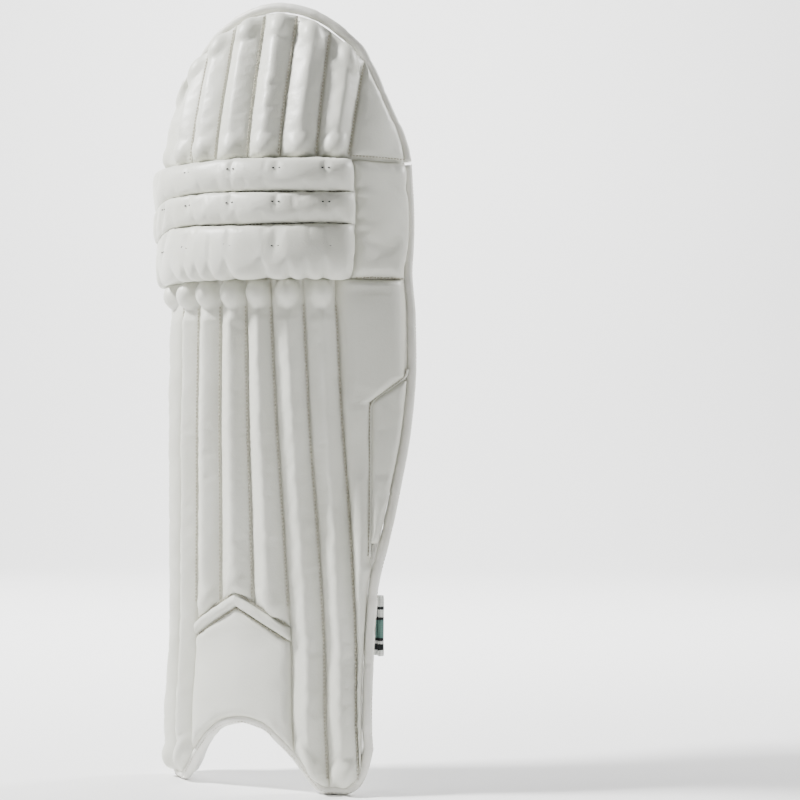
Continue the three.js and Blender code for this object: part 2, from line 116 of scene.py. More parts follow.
def smooth(table, x):
    """Monotone cubic interpolation of a table of (x, value) pairs, flat outside it."""
    xs, vs = np.array(table, float).T
    x = np.clip(np.asarray(x, float), xs[0], xs[-1])
    slope = np.diff(vs) / np.diff(xs)
    product = slope[:-1] * slope[1:]
    total = slope[:-1] + slope[1:]
    inner = np.where(product > 0, 2 * product / np.where(product > 0, total, 1), 0)
    tangent = np.concatenate([slope[:1], inner, slope[-1:]])
    k = np.clip(np.searchsorted(xs, x, "right") - 1, 0, len(xs) - 2)
    span = xs[k + 1] - xs[k]
    t = (x - xs[k]) / span
    return ((2 * t**3 - 3 * t**2 + 1) * vs[k] + (t**3 - 2 * t**2 + t) * span * tangent[k]
            + (3 * t**2 - 2 * t**3) * vs[k + 1] + (t**3 - t**2) * span * tangent[k + 1])


def shell_mm(u, z, depth):
    """Points on the shell in the CAD part's own millimetres, before its origin is moved to the base."""
    u, z, depth = np.broadcast_arrays(*(np.asarray(a, float) for a in (u, z, depth)))
    radius = smooth(RADIUS, z)
    bend = np.radians(smooth(WING_BEND, z))
    angle = np.minimum(u / radius, bend)
    straight = np.maximum(u - bend * radius, 0)
    x = (radius + depth) * np.sin(angle) + straight * np.cos(angle)
    y = smooth(FRONT_LINE, z) + radius - (radius + depth) * np.cos(angle) + straight * np.sin(angle)
    return np.stack([x, y, z], -1)


def find_origin():
    """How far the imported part's origin is from the shell's own, read off the knee badge's corner."""
    corner = shell_mm(LOCATOR_CENTRE + BADGE_HALF, LOCATOR_Z, [BADGE_BACK, BADGE_FACE])
    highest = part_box("knee_badge")[1]
    return np.array([highest.x - corner[0, 0] * MM, highest.y - corner[1, 1] * MM, 0])


ORIGIN = find_origin()


def on_shell(u, z, depth):
    """The same points in the row frame, in metres."""
    return shell_mm(u, z, depth) * MM + ORIGIN


def medial_edge(z):
    radius = smooth(RADIUS, z)
    return SIDE_MARGIN - radius * np.arcsin(smooth(MEDIAL_REACH, z) / (radius - SIDE_MARGIN))


def lateral_edge(z):
    radius = smooth(RADIUS, z)
    bend = np.radians(smooth(WING_BEND, z))
    reach = smooth(LATERAL_REACH, z)
    curved = radius * np.sin(bend)
    on_curve = radius * np.arcsin(np.minimum(reach / radius, 1))
    on_flat = radius * bend + (reach - curved) / np.cos(bend)
    return np.where(reach <= curved, on_curve, on_flat) - SIDE_MARGIN


def mix(a, b, t):
    return a + (b - a) * t


def foot_edge(u):
    return smooth(FOOT_EDGE, u)


def top_edge(u):
    return smooth(TOP_EDGE, u)


def on_line(start, end, z):
    """Distance u at height z on the straight line between two (u, z) points."""
    return mix(start[0], end[0], (z - start[1]) / (end[1] - start[1]))


def shin_seam(k, z):
    low, high = SHIN_SEAMS[k]
    return on_line((low, SEAM_LOW_Z), (high, SEAM_HIGH_Z), z)


def top_seam(k, z):
    low, high = TOP_SEAMS[k]
    return on_line((low, CREASE_Z), (high, TOP_ROW_Z), z)


def chevron_top(u):
    return CHEVRON_APEX_Z - CHEVRON_DROP * np.abs(u - CHEVRON_CENTRE) / CHEVRON_HALF


def groove(z):
    """Edge of the calf flap, with one corner."""
    low = on_line(GROOVE_FOOT, GROOVE_CORNER, z)
    high = on_line(GROOVE_CORNER, GROOVE_END, z)
    return np.where(z >= GROOVE_CORNER[1], high, low)


# ---------------------------------------------------------------- meshes
def ripple(u, z, seed, length, waves=7):
    """Smooth uneven fullness between about -1 and 1, with bumps about that many millimetres long."""
    rng = np.random.default_rng(seed)
    total = np.zeros(np.broadcast(u, z).shape)
    for _ in range(waves):
        heading, phase = rng.uniform(0, math.tau, 2)
        pitch = length * rng.uniform(0.7, 1.6)
        total += np.sin(math.tau * (u * math.cos(heading) + z * math.sin(heading)) / pitch + phase)
    return total / math.sqrt(waves)


def as_function(value):
    return value if callable(value) else lambda _: value


def to_edge(place):
    """How far a place between 0 and 1 is from the nearer end."""
    return np.minimum(place, 1 - place)


def unit(vectors):
    return vectors / np.linalg.norm(vectors, axis=1, keepdims=True)


def lengths(path):
    """Length along a path at each of its points."""
    return np.concatenate([[0], np.cumsum(np.linalg.norm(np.diff(path, axis=0), axis=1))])


def at_length(path, along, places):
    """Points at the given lengths along a path."""
    return np.stack([np.interp(places, along, column) for column in path.T], -1)


def evenly(path, spacing):
    """The same path with points that are about spacing apart, all by the same distance."""
    along = lengths(path)
    return at_length(path, along, np.linspace(0, along[-1], max(4, int(along[-1] / spacing))))


def relaxed(path, times):
    """The path with its corners eased."""
    for _ in range(times):
        path[1:-1] = 0.25 * path[:-2] + 0.5 * path[1:-1] + 0.25 * path[2:]
    return path


def along_and_out(path):
    """Unit vectors along a path, and square to it and away from the middle of the leg."""
    tangent = unit(np.gradient(path, axis=0))
    outward = path - np.array([ORIGIN[0], path[:, 1].max() + 0.02, 0])
    outward[:, 2] = 0
    return tangent, unit(outward - (outward * tangent).sum(1, keepdims=True) * tangent)


def grid_faces(shape):
    """The quads of one grid, and all the faces of a closed slab between that grid and a second one."""
    count = shape[0] * shape[1]
    index = np.arange(count).reshape(shape)
    a, b, c, d = index[:-1, :-1], index[:-1, 1:], index[1:, 1:], index[1:, :-1]
    quads = np.stack([a, b, c, d], -1).reshape(-1, 4)
    rim = np.concatenate([index[0, :], index[1:, -1], index[-1, -2::-1], index[-2:0:-1, 0]])
    following = np.roll(rim, -1)
    walls = np.stack([following, rim, rim + count, following + count], -1)
    return quads, np.concatenate([quads, quads[:, ::-1] + count, walls])


def make_mesh(name, points, faces, uvs=None, material=None):
    mesh = bpy.data.meshes.new(name)
    mesh.from_pydata(np.asarray(points).tolist(), [], [list(map(int, f)) for f in faces])
    mesh.polygons.foreach_set("use_smooth", np.ones(len(mesh.polygons), bool))
    piece = bpy.data.objects.new(name, mesh)
    bpy.context.scene.collection.objects.link(piece)
    if uvs is not None:
        layer = mesh.uv_layers.new(name="surface")
        corner = np.zeros(len(mesh.loops), np.int32)
        mesh.loops.foreach_get("vertex_index", corner)
        layer.data.foreach_set("uv", np.asarray(uvs, np.float32)[corner].ravel())
    if material:
        mesh.materials.append(material)
    return piece


SEARCH_STEPS = 12
SOFT_FACES = []


def slab(name, sides, ends, outer, inner, material, spacing=2.6, rows=mix, groove_of=None, sag=None,
         soft="outer", slack=0.4):
    """A closed soft panel on the shell. sides are u(z), ends are z(u); outer and inner give the depth of
    its two faces from (s, t, u, z), and sag the height its outer face hangs below its own row.
    spacing is the size of its grid in millimetres, soft says which of its faces is slack cloth, and slack
    is how far, in millimetres, that cloth may move."""
    (left, right), (bottom, top) = [[as_function(f) for f in pair] for pair in (sides, ends)]
    middle_u, middle_z = grid_middle(left, right, bottom, top)
    across = max(4, round(float(right(middle_z) - left(middle_z)) / spacing))
    along = max(4, round(float(top(middle_u) - bottom(middle_u)) / spacing))
    s, t = np.meshgrid(np.linspace(0, 1, across + 1), np.linspace(0, 1, along + 1))
    u = mix(left(np.full_like(s, CREASE_Z)), right(np.full_like(s, CREASE_Z)), s)
    z = rows(bottom(u), top(u), t)
    for _ in range(SEARCH_STEPS):
        u = mix(left(z), right(z), s)
        z = rows(bottom(u), top(u), t)
    front, back = outer(s, t, u, z), inner(s, t, u, z)
    hang = np.zeros(s.shape) if sag is None else sag(s, t, u, z)
    lowered = on_shell(u, z, front) - hang[..., None] * np.array([0, 0, MM])
    faces_of = [lowered.reshape(-1, 3), on_shell(u, z, back).reshape(-1, 3)]
    quads, faces = grid_faces(s.shape)
    uv = np.stack([u, z], -1).reshape(-1, 2) * MM
    piece = make_mesh(name, np.concatenate(faces_of), faces, np.concatenate([uv, uv]), material)
    # groove: how strongly the colour takes painted shade at each point, from groove_of.
    shade = np.zeros(s.shape) if groove_of is None else groove_of(s, t, u, z)
    attribute = piece.data.attributes.new("groove", "FLOAT", "POINT")
    attribute.data.foreach_set("value", np.concatenate([shade.ravel(), shade.ravel()]).astype(np.float32))
    if soft == "outer":
        SOFT_FACES.append((piece, 0, s.shape, quads, slack))
    if soft == "inner":
        SOFT_FACES.append((piece, s.size, s.shape, quads[:, ::-1], slack))
    return piece


def grid_middle(left, right, bottom, top):
    """The point near the middle of a panel, from its two sides and its two ends."""
    u, z = 0.0, CREASE_Z
    for _ in range(SEARCH_STEPS):
        u = float(mix(left(z), right(z), 0.5))
        z = float(mix(bottom(u), top(u), 0.5))
    return u, z


def flat(depth):
    return lambda s, t, u, z: np.full(s.shape, float(depth))


def end_distance(u, z, end):
    return np.abs(as_function(end)(u) - z)


def rounded(distance, reach):
    """0 at an edge, 1 further in than reach, with a round shoulder."""
    inside = 1 - np.clip(distance / reach, 0, 1)
    return np.sqrt(np.maximum(0, 1 - inside**2))


def ridged(c, ridge):
    """Fullness across a channel, 1 in the middle and 0 at c = 1: a round dome mixed with two flat faces."""
    dome = np.sqrt(np.maximum(0, 1 - c**2.4))
    soft = 0.13
    roof = (math.sqrt(1 + soft**2) - np.sqrt(c**2 + soft**2)) / (math.sqrt(1 + soft**2) - soft)
    return mix(dome, 0.1 * np.sqrt(np.maximum(0, 1 - c**8)) + 0.9 * roof, ridge)


BULB_RADIUS = 12.0


def channel(seam, crown, bottom, top, seed, bulbs=(0, 0), bulb_reach=24, ridge=0.8, end_reach=9,
            sides=(None, None)):
    """Depth of a stuffed channel that runs up the pad. bulbs swell its lower and upper end, and sides
    are the depths at its two edges where those differ from seam."""
    left_depth, right_depth = [seam if d is None else d for d in sides]

    def ball(distance, c, u):
        """How far a point is up a round bulb near an end, from 0 to 1."""
        along = (distance - 0.52 * bulb_reach) / (0.58 * bulb_reach)
        across = c * np.maximum(1.05, np.ptp(u, axis=1, keepdims=True) / 2 / BULB_RADIUS)
        return np.sqrt(np.maximum(0, 1 - along**2 - across**2))

    def depth(s, t, u, z):
        c = np.abs(2 * s - 1)
        low, high = end_distance(u, z, bottom), end_distance(u, z, top)
        ends = rounded(low, end_reach) * rounded(high, end_reach)
        side = np.where(s < 0.5, mix(left_depth, seam, 2 * s), mix(right_depth, seam, 2 - 2 * s))
        profile = ridged(c, ridge)
        waist = sum(np.clip(1.5 - distance / bulb_reach, 0, 1) * min(0.72, 0.12 * amount)
                    for distance, amount in ((low, bulbs[0]), (high, bulbs[1])))
        body = (crown - seam) * profile * ends * (1 - np.clip(waist, 0, 1))
        swell = sum((amount + crown - seam) * ball(distance, c, u) if amount > 0 else 0 * u
                    for distance, amount in ((low, bulbs[0]), (high, bulbs[1])))
        pucker = 0.2 * c**6 * np.sin(math.tau * z / 6.8 + seed) * ends
        uneven = 0.3 * ripple(u, z, seed, 60) + 0.1 * ripple(u, z, seed + 50, 20)
        return side + smooth_most(body, swell) + pucker + uneven * profile * ends
    return depth


def smooth_most(a, b, softness=2.0):
    """The larger of two heights, with a soft join where they cross."""
    return 0.5 * (a + b + np.sqrt((a - b) ** 2 + softness**2)) - 0.5 * softness


def seam_shade(width):
    """1 in the seams at a panel's two sides, fading inward."""
    return lambda s, t, u, z: np.clip(1 - to_edge(s) / width, 0, 1) ** 1.5


def rim_shade(s, t, u, z):
    """1 at a panel's rim, fading within 4 mm."""
    return np.clip(1 - np.minimum(to_edge(s) * np.ptp(u), to_edge(t) * np.ptp(z)) / 4, 0, 1) ** 1.5


def pillow(edge, crown, reach, seed, uneven=0.5, length=50):
    """Depth of a padded panel: crown in the middle, rounding off to edge within reach millimetres."""
    def depth(s, t, u, z):
        width = np.ptp(u, axis=1, keepdims=True)
        height = np.ptp(z, axis=0, keepdims=True)
        inside = rounded(to_edge(s) * width, reach) * rounded(to_edge(t) * height, reach)
        return mix(edge, crown, inside) + uneven * ripple(u, z, seed, length) * inside
    return depth


def prism(name, path, radius, material, sides=12, wobble=None, squash=1.0):
    """A soft tube along a path of points. wobble(length along, angle) changes its radius."""
    length = lengths(path)
    tangent, first = along_and_out(path)
    second = np.cross(tangent, first)
    angle = np.arange(sides) * math.tau / sides
    size = np.full((len(path), sides), radius)
    if wobble is not None:
        size = size * wobble(length[:, None] / MM, angle[None, :])
    round_path = (np.cos(angle)[None, :, None] * first[:, None] * squash
                  + np.sin(angle)[None, :, None] * second[:, None])
    points = path[:, None] + size[..., None] * round_path
    index = np.arange(size.size).reshape(size.shape)
    beside = np.roll(index, -1, axis=1)
    faces = np.stack([index[:-1], beside[:-1], beside[1:], index[1:]], -1).reshape(-1, 4).tolist()
    faces += [index[0, ::-1].tolist(), index[-1].tolist()]
    uv = np.stack(np.broadcast_arrays(length[:, None], angle * radius), -1).reshape(-1, 2)
    return make_mesh(name, points.reshape(-1, 3), faces, uv, material)


THREAD_RADIUS = 0.0007


def stitches(name, lines, material, pitch=3.4, length=2.4, radius=THREAD_RADIUS):
    """Short rounded threads laid end to end along lines of points."""
    points, faces = [], []
    sides = 5
    ring = [(math.cos(a), math.sin(a)) for a in np.arange(sides) * math.tau / sides]
    profile = [(-0.5, 0.25), (-0.34, 1), (0.34, 1), (0.5, 0.25)]  # place along the thread, and thickness
    for line in lines:
        along = lengths(line)
        for middle in np.arange(pitch / 2, along[-1] / MM, pitch) * MM:
            places = [middle, min(middle + MM, along[-1]), max(middle - MM, 0)]
            centre, ahead, behind = at_length(line, along, places)
            direction = (ahead - behind) / np.linalg.norm(ahead - behind)
            side = np.cross(direction, [0.31, 0.22, 0.93] if abs(direction[2]) < 0.8 else [0.93, 0.3, 0.1])
            side /= np.linalg.norm(side)
            other = np.cross(direction, side)
            start = len(points)
            points += [centre + direction * offset * length * MM + (side * c + other * s) * radius * width
                       for offset, width in profile for c, s in ring]
            for k in range(start, start + sides * (len(profile) - 1), sides):
                faces += [[k + j, k + (j + 1) % sides, k + (j + 1) % sides + sides, k + j + sides]
                          for j in range(sides)]
            last = start + sides * (len(profile) - 1)
            faces += [list(range(start + sides - 1, start - 1, -1)), list(range(last, last + sides))]
    return make_mesh(name, points, faces, None, material)


# ---------------------------------------------------------------- materials
class Field:
    """A number at each point of a surface, worked out by Math nodes of the material being made."""

    tree = None

    def __init__(self, socket):
        self.socket = socket

    @staticmethod
    def math(operation, *values, clamp=False):
        node = Field.tree.nodes.new("ShaderNodeMath")
        node.operation = operation
        node.use_clamp = clamp
        for place, value in zip(node.inputs, values):
            if isinstance(value, Field):
                Field.tree.links.new(value.socket, place)
            else:
                place.default_value = value
        return Field(node.outputs[0])

    def __rsub__(self, other):
        return Field.math("SUBTRACT", other, self)

    def clamp(self):
        return Field.math("ADD", self, 0.0, clamp=True)

    def wrap(self, low, high):
        return Field.math("WRAP", self, high, low)


def field_method(operation):
    return lambda *values: Field.math(operation, *values)


for method, operation in {"__add__": "ADD", "__sub__": "SUBTRACT", "__mul__": "MULTIPLY", "abs": "ABSOLUTE",
                          "__truediv__": "DIVIDE", "sin": "SINE", "cos": "COSINE", "over": "GREATER_THAN",
                          "under": "LESS_THAN"}.items():
    setattr(Field, method, field_method(operation))


class Surface:
    """One material: a Principled shader with the tools for building its colour, roughness and relief."""

    def __init__(self, name, roughness, **inputs):
        self.material = bpy.data.materials.new(name)
        self.material.use_nodes = True
        self.tree = self.material.node_tree
        Field.tree = self.tree
        self.shader = self.tree.nodes["Principled BSDF"]
        self.shader.inputs["Roughness"].default_value = roughness
        for key, value in inputs.items():
            self.shader.inputs[key.replace("_", " ")].default_value = value
        self.coordinates = self.tree.nodes.new("ShaderNodeTexCoord")

    def node(self, kind, **settings):
        node = self.tree.nodes.new(kind)
        for key, value in settings.items():
            setattr(node, key, value)
        return node

    def place(self, which="UV"):
        """The two or three coordinates in millimetres."""
        split = self.node("ShaderNodeSeparateXYZ")
        self.tree.links.new(self.coordinates.outputs[which], split.inputs[0])
        return [Field(output) * 1000.0 for output in split.outputs]

    def attribute(self, name):
        return Field(self.node("ShaderNodeAttribute", attribute_name=name).outputs["Fac"])

    def texture(self, kind, output, **inputs):
        node = self.node(kind)
        for key, value in inputs.items():
            node.inputs[key].default_value = value
        self.tree.links.new(self.coordinates.outputs["Object"], node.inputs["Vector"])
        return Field(node.outputs[output])

    def noise(self, per_metre, detail=3.0, roughness=0.5):
        return self.texture("ShaderNodeTexNoise", 0, Scale=per_metre, Detail=detail, Roughness=roughness)

    def cells(self, per_metre):
        return self.texture("ShaderNodeTexVoronoi", "Distance", Scale=per_metre)

    def blend(self, factor, below, above):
        node = self.node("ShaderNodeMix", data_type="RGBA")
        for place, value in ((node.inputs[0], factor), (node.inputs[6], below), (node.inputs[7], above)):
            if isinstance(value, Field):
                self.tree.links.new(value.socket, place)
            elif isinstance(value, tuple):
                place.default_value = (*value, 1)
            else:
                self.tree.links.new(value, place)
        return node.outputs[2]

    def colour(self, socket):
        self.tree.links.new(socket, self.shader.inputs["Base Color"])

    def rough(self, field):
        self.tree.links.new(field.socket, self.shader.inputs["Roughness"])

    def relief(self, height, millimetres, strength=1.0):
        bump = self.node("ShaderNodeBump")
        bump.inputs["Distance"].default_value = millimetres * MM
        bump.inputs["Strength"].default_value = strength
        self.tree.links.new(height.socket, bump.inputs["Height"])
        self.tree.links.new(bump.outputs[0], self.shader.inputs["Normal"])


def leather(name, light, shade, seam, roughness=0.42, grain=1.0):
    """Soft coated leather: fine pebble grain, uneven tint, and painted shade in a darker yellow-brown along
    the seams and rims.
    """
    s = Surface(name, roughness, Specular_IOR_Level=0.42, Coat_Weight=0.08, Coat_Roughness=0.4)
    tint = ((s.noise(11, 4) - 0.5) * 2.4 + 0.5).clamp()
    base = s.blend(tint, light, shade)
    smudges = ((s.noise(38, 5, 0.62) - 0.6) * 3.2).clamp() * 0.35
    base = s.blend(smudges, base, tuple(0.86 * c for c in shade))
    # Painted shade: the colour darkens towards the seam colour where the groove attribute marks a seam or
    # rim.
    painted_seam_shade = (s.attribute("groove") * (s.noise(90, 3) * 0.7 + 0.25)).clamp() * 0.4
    s.colour(s.blend(painted_seam_shade, base, seam))
    pebbles = s.cells(1050) * 0.6 + s.noise(700, 3) * 0.5
    creases = ((s.noise(160, 4, 0.6) - 0.5).abs() * 6.0).clamp()
    s.relief(pebbles * 0.5 + creases * 0.6, 0.3 * grain, 0.42)
    s.rough((s.noise(60, 3) - 0.5) * 0.22 + roughness)
    return s.material


WHITE = (0.705, 0.710, 0.645)
CREAM = (0.635, 0.637, 0.565)
# Darker yellow-brown of the painted shade along the leather's seams and rims.
SEAM_SHADE_COLOUR = (0.56, 0.53, 0.40)
LEATHER = leather("white_leather_grain", WHITE, CREAM, SEAM_SHADE_COLOUR)
# Its third colour is the painted shade along its seams and rims.
INNER_LEATHER = leather("inner_leather_grain", (0.80, 0.80, 0.78), (0.72, 0.72, 0.69), (0.50, 0.47, 0.38),
                        0.5)
EDGE_LEATHER = leather("edge_binding_leather", (0.78, 0.775, 0.73), (0.70, 0.69, 0.62), SEAM_SHADE_COLOUR, 0.46, 1.3)


def thread(name, colour):
    s = Surface(name, 0.75, Sheen_Weight=0.3)
    x, y, z = s.place("Object")
    twist = ((x + y * 1.3 + z * 1.7) * 9.0).sin() * 0.5 + 0.5
    s.colour(s.blend(twist, colour, tuple(0.78 * c for c in colour)))
    s.relief(twist, 0.1)
    return s.material


WHITE_THREAD = thread("white_thread", (0.74, 0.73, 0.66))
# Painted shade: this thread is darker than the light thread it stands for, so its beads carry the stitches'
# small shadows.
SHADE_DARKENED_THREAD = thread("shade_darkened_thread", (0.52, 0.49, 0.39))


def sines(u, v, pitch):
    """A chequer of soft bumps and hollows, each half a pitch wide, between -1 and 1."""
    return (u * (math.tau / pitch)).sin() * (v * (math.tau / pitch)).sin()


def air_mesh(name, light, dark, hole, pitch, hole_size=0.55, depth=0.8):
    """Spacer mesh: staggered dark holes between raised yarns."""
    s = Surface(name, 0.85, Sheen_Weight=0.25, Sheen_Roughness=0.5)
    u, v, _ = s.place()
    wave = (u * (math.tau / pitch)).cos() * (v * (math.tau / (pitch * 1.25))).cos()
    well = ((wave - (1 - hole_size)) * 3.2).clamp()
    yarn = sines(u, v, pitch / 3) * 0.5 + 0.5
    knit = s.blend(yarn * 0.5 + s.noise(300, 2) * 0.4, light, dark)
    s.colour(s.blend(well, knit, hole))
    s.relief(yarn * 0.18 - well, depth)
    return s.material


WHITE_AIR_MESH = air_mesh("white_air_mesh", (0.80, 0.80, 0.79), (0.66, 0.66, 0.65), (0.22, 0.22, 0.21), 3.6)
LOCATOR_MESH = air_mesh("locator_air_mesh", (0.80, 0.80, 0.80), (0.66, 0.66, 0.66), (0.20, 0.20, 0.20), 3.0)


def rubber(name, colour, roughness):
    s = Surface(name, roughness, Specular_IOR_Level=0.2)
    mottle = s.noise(500, 3)
    s.colour(s.blend(mottle, colour, tuple(min(1, c * 1.5 + 0.002) for c in colour)))
    s.relief(mottle + s.cells(900) * 0.5, 0.12)
    s.rough((s.noise(70, 2) - 0.5) * 0.25 + roughness)
    return s.material


BLACK_RUBBER = rubber("black_rubber", (0.006, 0.006, 0.007), 0.62)
GREY_RUBBER = rubber("grey_rubber", (0.34, 0.34, 0.35), 0.6)


def webbing(name, stripes):
    """Woven strap with stripes across its width. Each stripe is its upper edge, as a fraction, and colour."""
    s = Surface(name, 0.8, Sheen_Weight=0.1, Sheen_Roughness=0.45, Specular_IOR_Level=0.2)
    split = s.node("ShaderNodeSeparateXYZ")
    s.tree.links.new(s.coordinates.outputs["UV"], split.inputs[0])
    along, across = Field(split.outputs[0]) * 1000.0, Field(split.outputs[1])
    edge = across + (s.noise(900, 1) - 0.5) * 0.03
    socket = stripes[0][1]
    for (start, _), (_, colour) in zip(stripes[:-1], stripes[1:]):
        socket = s.blend(edge.over(start), socket, colour)
    ribs = (along * (math.tau / 2.1)).sin() * 0.5 + 0.5
    warp = (across * math.tau * 26).sin() * 0.5 + 0.5
    weave = ribs * 0.7 + warp * 0.3
    dark = s.blend((1.0 - weave) * 0.38, socket, (0.02, 0.03, 0.03))
    s.colour(s.blend(((s.noise(25, 3) - 0.5) * 1.4).clamp() * 0.06, dark, (0.55, 0.56, 0.52)))
    s.relief(weave, 0.45)
    return s.material


STRAP_WHITE = (0.74, 0.75, 0.72)
STRAP_BLACK = (0.010, 0.011, 0.012)
STRAP_GREEN = (0.112, 0.215, 0.187)
STRAP_STRIPES = [(0.18, STRAP_WHITE), (0.23, STRAP_BLACK), (0.355, STRAP_WHITE), (0.40, STRAP_BLACK),
                 (0.70, STRAP_GREEN), (0.75, STRAP_BLACK), (0.80, STRAP_WHITE), (0.905, STRAP_BLACK),
                 (1.0, STRAP_WHITE)]
WEBBING = webbing("striped_webbing", STRAP_STRIPES)


def tape(name, light, dark):
    s = Surface(name, 0.95, Sheen_Weight=0.5, Sheen_Roughness=0.6)
    fuzz = s.cells(1100) * 0.8 + s.noise(1500, 2) * 0.5
    s.colour(s.blend(fuzz.clamp(), light, dark))
    s.relief(fuzz, 0.6)
    return s.material


HOOK_TAPE = tape("hook_tape", (0.44, 0.43, 0.41), (0.25, 0.245, 0.235))
LOOP_TAPE = tape("loop_tape", (0.50, 0.49, 0.47), (0.34, 0.33, 0.32))


def foam(name):
    """Cut edge of the foam boards."""
    s = Surface(name, 0.9)
    s.colour(s.blend(s.noise(240, 4), (0.62, 0.61, 0.57), (0.52, 0.51, 0.47)))
    s.relief(s.cells(900), 0.3)
    return s.material


FOAM = foam("foam_board")


def printed(name, draw, roughness=0.46):
    """Coated leather with a print. draw(surface, u, z) gives a list of (mask, colour)."""
    s = Surface(name, roughness, Specular_IOR_Level=0.3)
    u, z, _ = s.place()
    tint = ((s.noise(14, 4) - 0.5) * 2.0 + 0.5).clamp()
    socket = s.blend(tint, (0.79, 0.79, 0.78), (0.71, 0.71, 0.69))
    for mask, colour in draw(s, u, z):
        socket = s.blend(mask, socket, colour)
    # Painted shade: darker brown-grey where the groove attribute marks the seams.
    painted_seam_shade = (s.attribute("groove") * (s.noise(90, 3) * 0.7 + 0.5)).clamp()
    s.colour(s.blend(painted_seam_shade, socket, (0.40, 0.38, 0.32)))
    s.relief(s.cells(1000) * 0.4 + s.noise(500, 3) * 0.5, 0.16, 0.4)
    s.rough((s.noise(60, 3) - 0.5) * 0.2 + roughness)
    return s.material


PRINT_BLACK = (0.008, 0.008, 0.009)
PRINT_GREY = (0.25, 0.25, 0.26)
SPINE_CENTRE = 12.5
KNEE_MESH_TOP, KNEE_MESH_FALL = 587.0, 30.0


def spine_print(s, u, z):
    """A plain dark band over thin zigzag lines of one size that run right across."""
    side = (u - SPINE_CENTRE).abs()
    crest = z + side * 0.45
    tooth = u.wrap(-8.0, 8.0).abs()
    row = (z + tooth * 0.6).wrap(-7.0, 7.0).abs()
    lines = row.under(1.6) * crest.under(268.0)
    band = crest.under(288.0) * crest.over(276.0)
    return [(lines, PRINT_GREY), (band, PRINT_BLACK)]


def lining_print(s, u, z):
    """Three plain level stripes above the fine mesh of the knee."""
    middle = (u - 14.0).abs().under(58.0)
    wide = (z - 656.0).abs().under(7.0) * middle
    narrow = (z - 640.0).abs().under(4.0) * middle
    thin = (z - 629.0).abs().under(1.6) * middle
    side = (u - 10.0).abs() / 130.0
    level = side * side * KNEE_MESH_FALL + z
    knee = level.under(KNEE_MESH_TOP)
    pores = ((sines(u + z, u - z, 3.1) - 0.3) * 2.6).clamp()
    hem = (level - KNEE_MESH_TOP).abs().under(0.7)
    return [(wide, PRINT_GREY), (narrow, PRINT_BLACK), (thin, PRINT_GREY),
            (knee, (0.74, 0.74, 0.75)), (knee * pores, (0.17, 0.17, 0.18)), (hem, (0.42, 0.42, 0.40))]


def patch_print(s, u, z):
    """A row of outlined diamonds. Here u runs along the strap and z across it."""
    diamond = u.wrap(-9.0, 9.0).abs() + (z - 26.0).abs() * 0.62
    shown = u.over(9.0) * u.under(45.0)
    ring = diamond.under(8.0) * shown
    middle = diamond.under(6.2) * shown
    return [(ring, PRINT_BLACK), (middle, (0.42, 0.42, 0.43))]


SPINE_PRINT = printed("spine_print", spine_print)
LINING_PRINT = printed("lining_print", lining_print)
PATCH_PRINT = printed("patch_print", patch_print)


def two_mesh(name):
    """Taupe air mesh above and white air mesh below, joined along a slanted seam."""
    s = Surface(name, 0.85, Sheen_Weight=0.25, Sheen_Roughness=0.5)
    u, z, _ = s.place()
    side = (((u - 14.5).abs() - 77.5) / 48.0).clamp()
    level = z + side * side * 12.0 + side * 24.0
    above = level.over(241.0)
    pitch = 4.0
    wave = ((u + z * 0.35) * (math.tau / pitch)).cos() * ((z - u * 0.1) * (math.tau / (pitch * 1.2))).cos()
    well = ((wave - 0.34) * 3.6).clamp()
    yarn = sines(u, z, 1.3) * 0.5 + 0.5
    grey = s.blend(yarn * 0.5 + s.noise(300, 2) * 0.4, (0.36, 0.33, 0.295), (0.25, 0.23, 0.205))
    grey = s.blend(well, grey, (0.045, 0.04, 0.036))
    white = s.blend(yarn * 0.5 + s.noise(300, 2) * 0.4, (0.80, 0.80, 0.81), (0.68, 0.68, 0.69))
    white = s.blend(well * 0.8, white, (0.42, 0.42, 0.42))
    seam = (level - 241.0).abs().under(0.7)
    s.colour(s.blend(seam, s.blend(above, white, grey), (0.30, 0.29, 0.27)))
    s.relief(yarn * 0.18 - well - seam, 0.8)
    return s.material


BOLSTER_MESH = two_mesh("bolster_air_mesh")

# ---------------------------------------------------------------- covers
SKIN_BACK = -16.0
FRONT_SEAM = -8.5
THREAD_DEPTH = FRONT_SEAM + 2.5
CHANNEL_SHADE = seam_shade(0.045)
THREADS = {"shell": [], "thigh_flap": []}


def stand_for(piece, nodes):
    """The piece rides on its CAD node's body and stands for that node, which is hidden."""
    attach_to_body(piece, frame["nodes"][nodes[0]]["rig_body"])
    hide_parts(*nodes)


def attach(piece, body):
    """A small piece that stands for no CAD node."""
    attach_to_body(piece, body)


def front_cover(name, node, sides, ends, shape, fill=0.7, **options):
    """A leather cover on the front, which stands for one panel."""
    stand_for(slab(name, sides, ends, shape, flat(SKIN_BACK), LEATHER, **options), [node])


def seam_line(seam, low, high, depth, count=90):
    """Points up a seam u(z) between two heights."""
    z = np.linspace(low, high, count)
    return on_shell(as_function(seam)(z) + 0 * z, z, depth + 0 * z)


def beside_seam(seam, gap=1.1):
    """A line a little to the medial side of a seam."""
    return lambda z: as_function(seam)(z) - gap


def row_line(level, left, right, depth, count=120):
    """Points along a seam z(u) between two distances."""
    u = np.linspace(left, right, count)
    return on_shell(u, as_function(level)(u) + 0 * u, depth + 0 * u)


